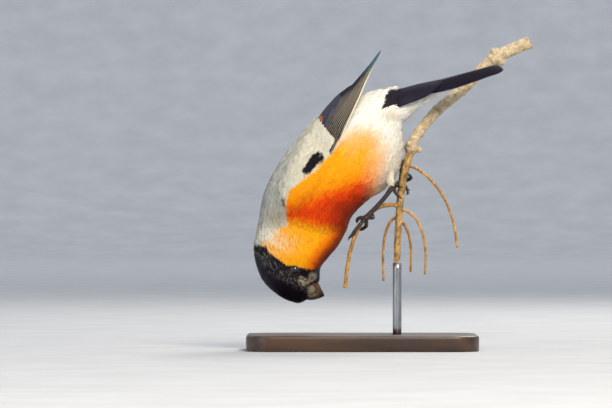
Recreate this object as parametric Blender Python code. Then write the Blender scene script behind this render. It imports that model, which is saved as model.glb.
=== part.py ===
"""A male bullfinch clinging head down to a cut length of ash twig, on a display stand, life size.

The part's frame is in metres, +Z up. The origin is the centre of the stand's underside. The bird's
middle plane is the XZ plane: its head is towards -X, its left side faces -Y, and its back is up and left.
Sizes below are in millimetres and are turned to metres where a mesh is made.
"""

import math

import bmesh
import bpy
import numpy as np
from mathutils import Matrix, Vector
from mathutils.bvhtree import BVHTree

MM = 0.001
GAP = 0.3

# The body's stations run from the bill's base to the end of the rump. Each is
# (back x, back z, belly x, belly z, half width).
BILL_BASE = (-25.4, 22.4, -19.2, 31.7, 4.8)
FOREHEAD = (-29.6, 21.2, -18.6, 37.2, 7.6)
BROW = (-37.4, 24.4, -15.4, 41.7, 10.8)
CROWN = (-45.2, 32.2, -11.4, 46.4, 12.8)
NAPE = (-48.8, 45.0, -7.6, 52.4, 13.8)
NECK = (-47.0, 57.0, -4.2, 60.2, 15.6)
SHOULDER = (-43.8, 71.6, 2.4, 67.2, 19.2)
MANTLE = (-37.0, 84.6, 9.2, 71.8, 20.4)
BACK = (-27.5, 96.8, 15.1, 77.9, 19.8)
LOWER_BACK = (-14.8, 107.2, 18.2, 88.4, 16.4)
RUMP = (0.0, 114.8, 18.0, 100.1, 10.9)
RUMP_END = (12.2, 117.9, 20.0, 103.7, 7.0)
STATIONS = np.array(
    [BILL_BASE, FOREHEAD, BROW, CROWN, NAPE, NECK, SHOULDER, MANTLE, BACK, LOWER_BACK, RUMP, RUMP_END]
)
BODY_SIDES = 28
SECTION_POWER = 2.15

# Where the body is parted, counted in stations.
HEAD_END = 3.8
NECK_END = 5.6
TORSO_END = 9.45

# The eye and its socket.
EYE_X, EYE_Z = -30.3, 35.9
EYEBALL_RADIUS = 2.5
EYE_OPENING = 1.95
EYE_DEPTH = 1.55
LID_RADIUS = 0.45
LID_SINK = 0.1

# Half of the bill each: (ridge x, ridge z, mouth x, mouth z, half width), from the base to the tip.
UPPER_BILL = (
    (-25.2, 22.7, -21.1, 28.8, 4.6), (-22.4, 22.4, -19.8, 27.6, 3.9), (-19.4, 23.1, -18.3, 26.1, 2.3),
    (-16.8, 24.2, -16.7, 24.6, 0.35),
)
LOWER_BILL = (
    (-19.3, 31.5, -20.9, 29.2, 4.3), (-18.4, 29.4, -19.5, 28.0, 3.5), (-17.7, 27.3, -18.0, 26.5, 1.9),
    (-17.2, 25.7, -17.2, 25.4, 0.35),
)
BILL_RINGS, BILL_SIDES = 7, 12
BILL_ROUNDNESS = 0.8

# The wing is laid out from the wrist to the tip of the longest primary.
WRIST = np.array([-33.3, 61.65])
WING_TIP = np.array([8.55, 135.0])
WING_LENGTH = float(np.linalg.norm(WING_TIP - WRIST))
WING_ALONG = (WING_TIP - WRIST) / WING_LENGTH
WING_ACROSS = np.array([WING_ALONG[1], -WING_ALONG[0]])
WING_TIP_OFFSET = 3.6
WING_CLEAR = 0.95
# Edge rows are (distance from the wrist, offset across), back edge and leading edge.
BACK_EDGE = (
    (-3.0, -3.0), (5.0, -7.4), (15.0, -9.4), (30.0, -9.8), (43.0, -8.6), (57.0, -7.1), (62.3, -4.8),
    (65.2, -3.6), (70.5, -2.1), (75.6, -1.2), (80.0, -0.7), (84.4, -0.3),
)
LEADING_EDGE = (
    (-3.0, 0.6), (5.0, 3.2), (20.0, 4.2), (35.0, 3.9), (47.0, 2.9), (53.0, 2.2), (59.0, 1.5),
    (64.0, 0.6), (68.0, -0.1), (72.0, -0.7), (76.0, -0.6), (80.0, -0.1), (84.4, 0.3),
)
# The feathers' tips bend towards the back edge: (distance from the wrist, shift across).
WING_SAG = ((50.0, 0.0), (60.0, -0.9), (68.0, -1.8), (74.0, -1.6), (80.0, -0.8), (84.4, 0.0))
CORE_END = 63.0

# The tail runs from the rump's end face to the tips of its feathers.
TAIL_ROOT = np.array([14.55, 114.3])
TAIL_TIP = np.array([63.6, 127.4])
TAIL_LENGTH = float(np.linalg.norm(TAIL_TIP - TAIL_ROOT))
TAIL_ALONG = (TAIL_TIP - TAIL_ROOT) / TAIL_LENGTH
TAIL_UP = np.array([-TAIL_ALONG[1], TAIL_ALONG[0]])
# How steeply the tail is arched over its middle line, as (distance from the rump, fall per square millimetre).
TAIL_ARCH = ((0.0, 0.07), (22.0, 0.064), (44.0, 0.028))

# The wing's rows of vanes, from the leading edge's side to the back's, each lying over the one before.
# Each row is (count, first vane, last vane, level, lift, rings); a vane is
# (root along, root across, tip along, tip across, half width), and inner vanes come last and highest.
WING_ROWS = (
    ("primary", 6, (40.0, 1.9, 84.2, 0.1, 1.15), (40.0, 0.0, 67.0, -0.9, 1.7), (0.72, 0.95), 0.5, 6),
    ("secondary", 3, (32.0, -1.0, 65.0, -1.5, 1.9), (32.0, -4.4, 65.0, -2.4, 1.9), (0.95, 1.05), 0.45, 4),
    ("tertial", 3, (29.0, -4.6, 62.5, -3.6, 2.2), (29.0, -7.0, 53.5, -5.2, 2.3), (1.1, 1.3), 0.35, 4),
    ("primary_covert", 3, (13.0, 2.6, 33.0, 2.6, 1.1), (13.0, 1.0, 29.0, 1.4, 1.3), (1.1, 1.25), 0.4, 4),
    ("alula", 2, (3.0, 2.0, 21.0, 3.1, 1.1), (3.0, 1.2, 15.5, 2.5, 1.2), (1.4, 1.55), 0.4, 4),
    ("greater_covert", 5, (19.0, 0.6, 37.8, 0.8, 1.9), (19.0, -7.0, 43.0, -6.6, 2.0), (1.45, 1.7), 0.45, 4),
)
CORE_INSET = (1.5, 0.9)
# A vane's thickness, its width at the root as a share, where it is full, and its least half width.
VANE_THICKNESS = 0.55
VANE_ROOT_WIDTH = 0.7
VANE_FULL_FROM = 0.4
VANE_TIP_WIDTH = 0.25
# The small coverts over the shoulder, as far as their edge: (distance from the wrist, offset across).
SHIELD_LENGTH = 33.0
SHIELD_EDGE = ((-3.0, 4.0), (12.0, 4.2), (18.0, 1.5), (22.0, -1.6), (27.0, -5.0), (36.0, -10.6))
# The tail's vanes on each side, from the outermost in: (root across, tip across, tip along, level).
TAIL_VANES = ((3.0, 7.2, 50.6, 0.4), (2.5, 5.8, 50.3, 0.75), (2.0, 4.4, 49.8, 1.1), (1.45, 3.0, 49.2, 1.45),
              (0.85, 1.7, 48.6, 1.8))
TAIL_VANE_WIDTH = 3.0
TAIL_ROOT_BLEND = 8.0
# The black coverts over the tail's root: (root across, tip across, tip along, level).
TAIL_COVERTS = ((4.2, 5.0, 18.5, 1.9), (2.4, 3.0, 22.5, 2.15), (0.5, 0.8, 26.0, 2.4))
TAIL_COVERT_WIDTH = 2.4
TAIL_COVERT_RISE = 1.2
TAIL_COVERT_REACH = 27.0
# The white coverts under the tail: (distance from the rump, top, bottom, half width), heights as the tail's.
UNDERTAIL = ((0.0, -1.0, -11.2, 6.0), (7.0, -1.0, -9.6, 5.6), (15.0, -1.1, -7.4, 4.0), (20.0, -1.5, -5.3, 2.6),
             (26.0, -2.3, -3.0, 0.6))

# Legs. The hip end of each thigh, its heel, and how far along its stem or stalk the foot grips.
LEFT_LEG = {"hip": (12.5, -8.5, 82.0), "heel": (13.4, -9.8, 73.2), "grip": 3.35}
RIGHT_LEG = {"hip": (8.0, 8.5, 88.0), "heel": (17.6, 11.6, 84.6), "grip": 2.75}
THIGH_RADII = (4.6, 1.9)
TARSUS_RADII = (1.35, 1.0, 1.0, 1.25)
TOE_RADII = (0.95, 0.8, 0.8, 0.6)
CLAW_RADII = (0.55, 0.34, 0.12)
# Toe rows are (start angle, end angle, advance along the stalk), hind toe last.
LEFT_TOES = ((-22.0, -140.0, 6.5), (4.0, 105.0, 10.0), (30.0, 130.0, 3.0), (-20.0, -150.0, -4.2))
RIGHT_TOES = ((-35.0, -150.0, 6.5), (-12.0, -140.0, 2.2), (12.0, 100.0, 4.6), (15.0, 140.0, -3.6))
CLAW_TURN = 42.0

# The perch. The twig comes from behind the tail to its end knob, where the stem hangs with its stalks.
KNOB = (22.2, 1.2, 91.0)
KNOB_RADIUS = 3.1
# Buds and swellings of the twig: (x, y, z, radius).
BUDS = (
    (25.6, 1.6, 90.2, 1.5), (21.2, -1.6, 93.0, 1.3), (23.0, 4.2, 93.6, 1.6), (46.0, 15.0, 116.0, 1.4),
    (60.6, 18.4, 134.4, 2.2), (63.0, 18.6, 130.6, 2.2),
)
TWIG_ROUTE = ((21.8, 1.0, 91.2), (23.6, 3.2, 94.8), (27.6, 7.4, 100.4), (34.3, 12.0, 108.2), (44.4, 16.0, 116.6),
              (53.0, 17.8, 125.0), (61.6, 18.8, 132.4), (76.4, 19.4, 139.2))
TWIG_RADII = (2.2, 2.3, 2.6, 2.9)
STEM_ROUTE = ((21.6, 0.6, 88.9), (20.4, 0.2, 85.0), (19.2, 0.0, 80.0), (18.0, 0.0, 74.0), (17.2, 0.0, 67.0),
              (16.6, 0.0, 58.0), (16.0, 0.0, 48.0), (15.8, 0.0, 39.6))
STEM_RADII = (1.8, 1.45)
STALK_RADII = (0.95, 0.8)
THIN_STALK_RADII = (0.7, 0.5)
LEFT_STALK = ((17.0, 0.0, 64.6), (13.0, -1.4, 65.4), (7.6, -3.4, 64.2), (2.6, -5.0, 60.8), (-0.8, -5.8, 56.4),
              (-3.2, -6.2, 51.2), (-5.4, -6.2, 44.0), (-6.8, -6.2, 36.0), (-7.6, -6.2, 28.0))
THIN_STALKS = {
    "perch_stalk_outer": ((20.0, 0.0, 83.0), (24.6, 1.8, 81.6), (31.2, 3.4, 76.4), (37.4, 4.4, 67.8),
                          (41.4, 5.0, 57.0), (43.0, 5.2, 46.0)),
    "perch_stalk_right": ((16.9, 0.0, 63.0), (20.6, -1.8, 62.2), (25.0, -3.2, 58.0), (27.6, -4.0, 51.0),
                          (28.6, -4.2, 43.0), (28.2, -4.2, 34.0)),
    "perch_stalk_back": ((16.6, 0.0, 58.0), (19.0, 2.4, 56.4), (21.4, 5.0, 51.0), (22.2, 6.2, 44.0),
                         (22.0, 6.6, 35.0)),
    "perch_stalk_middle": ((16.7, 0.0, 59.8), (13.4, 2.4, 58.4), (10.6, 4.4, 52.4), (9.6, 5.2, 43.0),
                           (9.8, 5.4, 31.0)),
}

# The stand.
BASE_SIZE = (104.0, 66.0, 7.0)
BASE_CORNER = 12.0
ROD_RADIUS = 2.0


def smooth_rows(rows, where):
    """Rows read at fractional positions along a Catmull-Rom curve through them."""
    rows = np.asarray(rows, float)
    padded = np.vstack([2 * rows[0] - rows[1], rows, 2 * rows[-1] - rows[-2]])
    where = np.clip(np.asarray(where, float), 0, len(rows) - 1)
    at = np.minimum(where.astype(int), len(rows) - 2)
    t = (where - at)[..., None]
    p0, p1, p2, p3 = (padded[at + k] for k in range(4))
    square = (2 * p0 - 5 * p1 + 4 * p2 - p3) * t**2
    cube = (3 * p1 - p0 - 3 * p2 + p3) * t**3
    return 0.5 * (2 * p1 + (p2 - p0) * t + square + cube)


def new_material(name, colour, roughness, metallic=0.0):
    """A Principled material of one colour."""
    material = bpy.data.materials.new(name)
    material.use_nodes = True
    shader = material.node_tree.nodes["Principled BSDF"]
    shader.inputs["Base Color"].default_value = (*colour, 1.0)
    shader.inputs["Roughness"].default_value = roughness
    shader.inputs["Metallic"].default_value = metallic
    material.diffuse_color = (*colour, 1.0)
    return material


def add_mesh(name, points_mm, faces, material, collection, smooth=True):
    """A mesh object from points in millimetres, with its faces pointing out."""
    mesh = bpy.data.meshes.new(name)
    mesh.from_pydata([tuple(float(c) * MM for c in p) for p in points_mm], [], faces)
    shell = bmesh.new()
    shell.from_mesh(mesh)
    bmesh.ops.recalc_face_normals(shell, faces=shell.faces)
    if shell.calc_volume(signed=True) < 0:
        bmesh.ops.reverse_faces(shell, faces=shell.faces)
    shell.to_mesh(mesh)
    shell.free()
    if smooth:
        mesh.shade_smooth()
    mesh.materials.append(material)
    obj = bpy.data.objects.new(name, mesh)
    collection.objects.link(obj)
    return obj


def ring_faces(rings, sides, closed_start=True, closed_end=True):
    """Triangles over rings of points laid one after another, with flat ends."""
    faces = []
    for r in range(rings - 1):
        for k in range(sides):
            a, b = r * sides + k, r * sides + (k + 1) % sides
            faces += [(a, b, b + sides), (a, b + sides, a + sides)]
    if closed_start:
        faces.append(tuple(range(sides))[::-1])
    if closed_end:
        faces.append(tuple((rings - 1) * sides + k for k in range(sides)))
    return faces


def body_ring(station, grow=0.0):
    """One cross-section of the body, in the plane through its back and belly points."""
    back_x, back_z, belly_x, belly_z, width = smooth_rows(STATIONS, station)
    centre = np.array([back_x + belly_x, back_z + belly_z]) / 2
    half = np.array([back_x - belly_x, back_z - belly_z]) / 2
    half *= 1 + grow / np.linalg.norm(half)
    angle = np.linspace(0, 2 * math.pi, BODY_SIDES, endpoint=False)
    along = np.sign(np.cos(angle)) * np.abs(np.cos(angle)) ** (2 / SECTION_POWER)
    side = np.sign(np.sin(angle)) * np.abs(np.sin(angle)) ** (2 / SECTION_POWER)
    return np.column_stack([centre[0] + half[0] * along, -(width + grow) * side, centre[1] + half[1] * along])


def ring_normal(station):
    """The direction in which the stations run, square to a ring's plane."""
    back_x, back_z, belly_x, belly_z, _ = smooth_rows(STATIONS, station)
    return np.array([back_z - belly_z, 0.0, belly_x - back_x]) / math.hypot(back_x - belly_x, back_z - belly_z)


def body_length(name, start, end, rings, material, collection, grow=0.0, lead=0.0, trail=0.0):
    """A length of the body between two stations, its end faces drawn back along the ring normals."""
    rows = [body_ring(s, grow) for s in np.linspace(start, end, rings)]
    rows[0] = rows[0] + ring_normal(start) * lead
    rows[-1] = rows[-1] - ring_normal(end) * trail
    return add_mesh(name, np.vstack(rows), ring_faces(rings, BODY_SIDES), material, collection)


def join_pieces(host, pieces, operation="UNION", solver="MANIFOLD"):
    """The host united with the pieces, or cut by them, by one Boolean on a collection, which is applied."""
    tools = bpy.data.collections.new(host.name + "_pieces")
    bpy.context.scene.collection.children.link(tools)
    for piece in pieces:
        for owner in list(piece.users_collection):
            owner.objects.unlink(piece)
        tools.objects.link(piece)
    boolean = host.modifiers.new("join", "BOOLEAN")
    boolean.operand_type = "COLLECTION"
    boolean.collection = tools
    boolean.operation = operation
    boolean.solver = solver
    apply_modifiers(host)
    for piece in pieces:
        bpy.data.objects.remove(piece)
    bpy.data.collections.remove(tools)
    keep_largest(host)
    return host


def apply_modifiers(obj):
    """The object's mesh as its modifiers leave it."""
    depsgraph = bpy.context.evaluated_depsgraph_get()
    mesh = bpy.data.meshes.new_from_object(obj.evaluated_get(depsgraph))
    obj.modifiers.clear()
    obj.data = mesh


def keep_largest(obj):
    """Only the largest closed surface of a mesh, so that no scrap or sealed hollow is left."""
    shell = bmesh.new()
    shell.from_mesh(obj.data)
    bmesh.ops.remove_doubles(shell, verts=shell.verts, dist=1e-7)
    seen, islands = set(), []
    for seed in shell.faces:
        if seed in seen:
            continue
        seen.add(seed)
        island, stack = [], [seed]
        while stack:
            face = stack.pop()
            island.append(face)
            for edge in face.edges:
                for other in edge.link_faces:
                    if other not in seen:
                        seen.add(other)
                        stack.append(other)
        islands.append(island)
    islands.sort(key=lambda faces: sum(f.calc_area() for f in faces))
    dropped = [f for island in islands[:-1] for f in island]
    bmesh.ops.delete(shell, geom=dropped, context="FACES")
    shell.to_mesh(obj.data)
    shell.free()


def tube(name, route, radii, material, collection, sides=10, steps=4):
    """A round tube along a smooth curve through the route's points, its radius read from the radii."""
    route = np.asarray(route, float)
    count = (len(route) - 1) * steps + 1
    along = np.linspace(0, len(route) - 1, count)
    points = smooth_rows(route, along)
    sizes = np.interp(np.linspace(0, 1, count), np.linspace(0, 1, len(radii)), radii)
    tangents = np.gradient(points, axis=0)
    tangents /= np.linalg.norm(tangents, axis=1)[:, None]
    side = np.cross(tangents[0], (0.0, 1.0, 0.0))
    if np.linalg.norm(side) < 0.2:
        side = np.cross(tangents[0], (1.0, 0.0, 0.0))
    angle = np.linspace(0, 2 * math.pi, sides, endpoint=False)[:, None]
    rows = []
    for point, tangent, size in zip(points, tangents, sizes):
        side = side - tangent * (side @ tangent)
        side /= np.linalg.norm(side)
        up = np.cross(tangent, side)
        rows.append(point + size * (np.cos(angle) * side + np.sin(angle) * up))
    return add_mesh(name, np.vstack(rows), ring_faces(count, sides), material, collection)


def vane(name, place, root, tip, half_width, level, lift, material, collection, rings=5, round_from=0.72):
    """A feather's vane laid on a surface from root to tip: a thin strip with a raised shaft line and a round end.

    Its leading edge is lifted so that it lies over its neighbour. Both faces are split into the same triangles.
    """
    root, tip = np.asarray(root, float), np.asarray(tip, float)
    across = np.array([-(tip - root)[1], (tip - root)[0]]) / np.linalg.norm(tip - root)
    t = np.concatenate([np.linspace(0, round_from, rings - 2), [0.5 + round_from / 2, 1.0]])
    width = half_width * (VANE_ROOT_WIDTH + (1 - VANE_ROOT_WIDTH) * np.minimum(t / VANE_FULL_FROM, 1.0))
    rounding = np.clip((t - round_from) / (1 - round_from), 0, 1)
    width = np.maximum(width * np.sqrt(1 - rounding**2), VANE_TIP_WIDTH)
    points = []
    for share, wide in zip(t, width):
        middle = root + (tip - root) * share
        for sign in (1, -1):
            half = sign * VANE_THICKNESS / 2
            low, shaft, high = middle - across * wide, middle, middle + across * wide
            row = [place(*low, level + half * 0.8), place(*shaft, level + lift * 0.55 + half * 1.2),
                   place(*high, level + lift * wide / half_width + half * 0.8)]
            points += row
    faces = []
    for r in range(len(t) - 1):
        top, low, step = r * 6, r * 6 + 3, 6
        for k in range(2):
            a, b = top + k, top + k + 1
            c, d = low + k, low + k + 1
            faces += [(a, b, b + step), (a, b + step, a + step)]
            faces += [(c, d + step, d), (c, c + step, d + step)]
        faces += [(top, top + step, low + step), (top, low + step, low)]
        faces += [(top + 2, low + 2 + step, top + 2 + step), (top + 2, low + 2, low + 2 + step)]
    last = (len(t) - 1) * 6
    for r in (0, last):
        faces += [(r, r + 1, r + 4), (r, r + 4, r + 3), (r + 1, r + 2, r + 5), (r + 1, r + 5, r + 4)]
    return add_mesh(name, points, faces, material, collection, smooth=False)


def plate(name, place, outline, rings, columns, thickness, material, collection, bottom=0.0):
    """A closed plate on a surface, between two edges given as functions of the way along, thin at its rim."""
    rows = []
    for share in np.linspace(0, 1, rings):
        along, low, high = outline(share)
        end_thin = min(1.0, 6 * share + 0.45, 6 * (1 - share) + 0.45)
        row = []
        for across in np.linspace(0, 1, columns):
            rim = 0.5 + 0.5 * math.sin(math.pi * across) ** 0.5
            row.append((along, low + (high - low) * across, bottom, thickness(share) * rim * end_thin))
        rows.append(row)
    points = [place(a, b, base) for row in rows for a, b, base, _ in row]
    points += [place(a, b, base + thick) for row in rows for a, b, base, thick in row]
    top = rings * columns
    faces = []
    for r in range(rings - 1):
        for k in range(columns - 1):
            a = r * columns + k
            b, c, d = a + 1, a + columns + 1, a + columns
            faces += [(a, c, b), (a, d, c), (top + a, top + b, top + c), (top + a, top + c, top + d)]
    rim = [k for k in range(columns)] + [r * columns + columns - 1 for r in range(1, rings)]
    rim += [(rings - 1) * columns + k for k in range(columns - 2, -1, -1)]
    rim += [r * columns for r in range(rings - 2, 0, -1)]
    for a, b in zip(rim, rim[1:] + rim[:1]):
        faces += [(a, b, top + b), (a, top + b, top + a)]
    return add_mesh(name, points, faces, material, collection)


def wing_place(torso, side):
    """The wing's surface: it lies on the torso, then draws in towards the bird's middle plane at its tip.

    The torso's half width under each place is found by a ray along the bird's width.
    """
    tree = BVHTree.FromPolygons([v.co.copy() for v in torso.data.vertices],
                                [tuple(p.vertices) for p in torso.data.polygons])

    def half_width(x, z, a, b):
        hit, _, _, _ = tree.ray_cast(Vector((x * MM, -0.1, z * MM)), Vector((0, 1, 0)))
        on_body = -hit.y / MM + WING_CLEAR if hit else 0.0
        past = WING_LENGTH - max(a, 47.0)
        free = WING_TIP_OFFSET + 0.289 * past + (0.35 + 0.0105 * past) * b - 0.02 * b * b
        peak = max(on_body, free)
        return peak + math.log(math.exp(on_body - peak) + math.exp(free - peak))

    def surface(a, b):
        x, z = WRIST + WING_ALONG * a + WING_ACROSS * b
        return np.array([x, -half_width(x, z, a, b), z])

    def place(a, b, height):
        step = 0.6
        here = surface(a, b)
        normal = np.cross(surface(a + step, b) - surface(a - step, b), surface(a, b + step) - surface(a, b - step))
        normal /= np.linalg.norm(normal)
        if normal[1] > 0:
            normal = -normal
        point = here + normal * height
        return np.array([point[0], point[1] * side, point[2]])

    return place


def edge(rows, along):
    """An edge's offset at a distance from the wrist."""
    return float(np.interp(along, [r[0] for r in rows], [r[1] for r in rows]))


def make_wing(name, torso, side, materials, collection):
    """A folded wing: a thin core, the rows of flight feathers and coverts over it, and the shoulder's shield."""
    place = wing_place(torso, side)
    black = materials["wing_black"]
    first = BACK_EDGE[0][0] + 0.5

    def core_outline(share):
        along = first + (CORE_END - first) * share
        return along, edge(BACK_EDGE, along) + CORE_INSET[0], edge(LEADING_EDGE, along) - CORE_INSET[1]

    def shield_outline(share):
        along = BACK_EDGE[0][0] + (SHIELD_LENGTH - BACK_EDGE[0][0]) * share
        reach = float(np.interp(along, [r[0] for r in SHIELD_EDGE], [r[1] for r in SHIELD_EDGE]))
        return along, edge(BACK_EDGE, along) + 0.2, min(edge(LEADING_EDGE, along), reach)

    def bent(along, across, height):
        return place(along, across + edge(WING_SAG, along), height)

    wing = plate(name, place, core_outline, 11, 4, lambda s: 1.25 - 0.5 * s, black, collection)
    pieces = [plate("shield", place, shield_outline, 9, 4, lambda s: 2.3 - 0.7 * s * s, black, collection)]
    for label, count, outer, inner, levels, lift, rings in WING_ROWS:
        for number in range(count):
            share = number / (count - 1)
            root_a, root_b, tip_a, tip_b, width = np.array(outer) * (1 - share) + np.array(inner) * share
            level = levels[0] * (1 - share) + levels[1] * share
            pieces.append(vane(f"{label}_{number}", bent, (root_a, root_b), (tip_a, tip_b), width, level,
                               lift, black, collection, rings=rings))
    return join_pieces(wing, pieces)


def tail_place(across, along, height):
    """A point of the tail: distance from the middle plane, from the rump, and above its arched surface."""
    arch = np.interp(along, [r[0] for r in TAIL_ARCH], [r[1] for r in TAIL_ARCH])
    x, z = TAIL_ROOT + TAIL_ALONG * along + TAIL_UP * (height - arch * across * across)
    return np.array([x, across, z])


def off_rump(point):
    """The point slid along the tail until it is a gap's width off the rump's end face, if it is near its root."""
    normal = ring_normal(len(STATIONS) - 1)
    face = np.array([RUMP_END[0], 0.0, RUMP_END[1]])
    along = np.array([TAIL_ALONG[0], 0.0, TAIL_ALONG[1]])
    from_root = (point[0] - TAIL_ROOT[0]) * TAIL_ALONG[0] + (point[2] - TAIL_ROOT[1]) * TAIL_ALONG[1]
    short = (GAP - (point - face) @ normal) / (along @ normal)
    return point + along * (short + from_root) * max(0.0, 1 - from_root / TAIL_ROOT_BLEND)


def make_tail(materials, collection):
    """The closed tail: a core, the flight feathers from the outermost in, and the black coverts on its root."""
    black = materials["wing_black"]

    def outline(share):
        along = (TAIL_LENGTH - 4.0) * share
        wide = 5.4 + 2.6 * share
        return along, -wide, wide

    def thickness(share):
        along = (TAIL_LENGTH - 4.0) * share
        return 2.0 - 0.5 * share + 1.5 * math.exp(-(((along - 12.0) / 9.0) ** 2))

    tail = plate("tail", lambda a, b, h: off_rump(tail_place(b, a, h)), outline, 8, 5, thickness, black, collection,
                 bottom=-0.6)
    pieces = []
    for side in (1, -1):
        def flight(along, across, height, side=side):
            return tail_place(side * across, along, height)

        def covert(along, across, height, side=side):
            rise = TAIL_COVERT_RISE * math.sin(math.pi * min(1.0, along / TAIL_COVERT_REACH))
            return off_rump(tail_place(side * across, along, height + rise))

        for number, (root, tip, length, level) in enumerate(TAIL_VANES):
            pieces.append(vane(f"flight_{number}", flight, (7.0, root), (length, tip), TAIL_VANE_WIDTH, level, 0.25,
                               black, collection, rings=4, round_from=0.88))
        for number, (root, tip, length, level) in enumerate(TAIL_COVERTS):
            pieces.append(vane(f"covert_{number}", covert, (1.5, root), (length, tip), TAIL_COVERT_WIDTH, level, 0.3,
                               black, collection, rings=4))
    return join_pieces(tail, pieces)


def make_bill(materials, collection):
    """The upper and lower halves of the bill, which meet along the line of the mouth."""
    halves = []
    for name, rows in (("bill_upper", UPPER_BILL), ("bill_lower", LOWER_BILL)):
        angle = np.linspace(0, math.pi, BILL_SIDES)
        rise = np.sin(angle) ** BILL_ROUNDNESS
        points = []
        for at in np.linspace(0, len(rows) - 1, BILL_RINGS):
            ridge_x, ridge_z, mouth_x, mouth_z, width = smooth_rows(rows, at)
            points += list(zip(mouth_x + (ridge_x - mouth_x) * rise, -width * np.cos(angle),
                               mouth_z + (ridge_z - mouth_z) * rise))
        half = add_mesh(name, points, ring_faces(BILL_RINGS, BILL_SIDES), materials["bill"], collection)
        half.data.transform(Matrix.Translation(Vector(ring_normal(0) * -GAP * MM)))
        halves.append(half)
    return halves


def make_undertail(materials, collection):
    """The white coverts under the tail, a soft wedge from the rump's end face to a point."""
    rings, sides = 9, 14
    angle = np.linspace(0, 2 * math.pi, sides, endpoint=False)
    points = []
    for at in np.linspace(0, len(UNDERTAIL) - 1, rings):
        along, top, low, width = smooth_rows(UNDERTAIL, at)
        for turn in angle:
            height = (top + low) / 2 + (top - low) / 2 * math.cos(turn)
            x, z = TAIL_ROOT + TAIL_ALONG * along + TAIL_UP * height
            points.append(off_rump(np.array([x, width * math.sin(turn), z])))
    return add_mesh("undertail", points, ring_faces(rings, sides), materials["rump_white"], collection)


def make_eyes(head, whole, materials, collection):
    """Two eyeballs in sockets cut in the head, each ringed by a raised lid."""
    tree = BVHTree.FromPolygons([v.co.copy() for v in whole.data.vertices],
                                [tuple(p.vertices) for p in whole.data.polygons])
    hit, normal, _, _ = tree.ray_cast(Vector((EYE_X * MM, -0.1, EYE_Z * MM)), Vector((0, 1, 0)))
    sockets, lids = [], []
    for name, side in (("eye_left", 1), ("eye_right", -1)):
        skin = Vector((hit.x, hit.y * side, hit.z))
        out = Vector((normal.x, normal.y * side, normal.z))
        centre = skin - out * EYE_DEPTH * MM
        for label, radius in ((name, EYEBALL_RADIUS), (name + "_socket", EYEBALL_RADIUS + GAP)):
            bpy.ops.mesh.primitive_uv_sphere_add(segments=14, ring_count=8, radius=radius * MM, location=centre)
            ball = bpy.context.object
            ball.rotation_euler = out.to_track_quat("Z", "Y").to_euler()
            claim(ball, label, materials["eye"], collection)
            if label != name:
                sockets.append(ball)
        bpy.ops.mesh.primitive_torus_add(major_segments=18, minor_segments=6, major_radius=(EYE_OPENING + 0.2) * MM,
                                         minor_radius=LID_RADIUS * MM, location=skin - out * LID_SINK * MM)
        lid = bpy.context.object
        lid.rotation_euler = out.to_track_quat("Z", "Y").to_euler()
        claim(lid, name + "_lid", materials["cap_black"], collection)
        lids.append(lid)
    join_pieces(head, lids)
    join_pieces(head, sockets, "DIFFERENCE")


def claim(obj, name, material, collection):
    """Names a primitive, gives it its material and moves it to the collection, with its place in its mesh."""
    bpy.context.view_layer.update()
    obj.name = obj.data.name = name
    obj.data.transform(obj.matrix_world)
    obj.matrix_world = Matrix.Identity(4)
    obj.data.materials.clear()
    obj.data.materials.append(material)
    obj.data.shade_smooth()
    for owner in list(obj.users_collection):
        owner.objects.unlink(obj)
    collection.objects.link(obj)


def stalk_point(route, steps_along, advance, radial, angle, distance):
    """A point beside a stalk's curve: so far along it, turned about it from the radial direction."""
    route = np.asarray(route, float)
    dense = smooth_rows(route, np.linspace(0, len(route) - 1, 400))
    run = np.concatenate([[0], np.cumsum(np.linalg.norm(np.diff(dense, axis=0), axis=1))])
    start = np.interp(steps_along, np.linspace(0, len(route) - 1, 400), run)
    here = np.array([np.interp(start + advance, run, dense[:, k]) for k in range(3)])
    ahead = np.array([np.interp(start + advance + 0.5, run, dense[:, k]) for k in range(3)])
    tangent = (ahead - here) / np.linalg.norm(ahead - here)
    out = radial - tangent * (radial @ tangent)
    out /= np.linalg.norm(out)
    side = np.cross(tangent, out)
    turn = math.radians(angle)
    return here + distance * (math.cos(turn) * out + math.sin(turn) * side)


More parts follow.
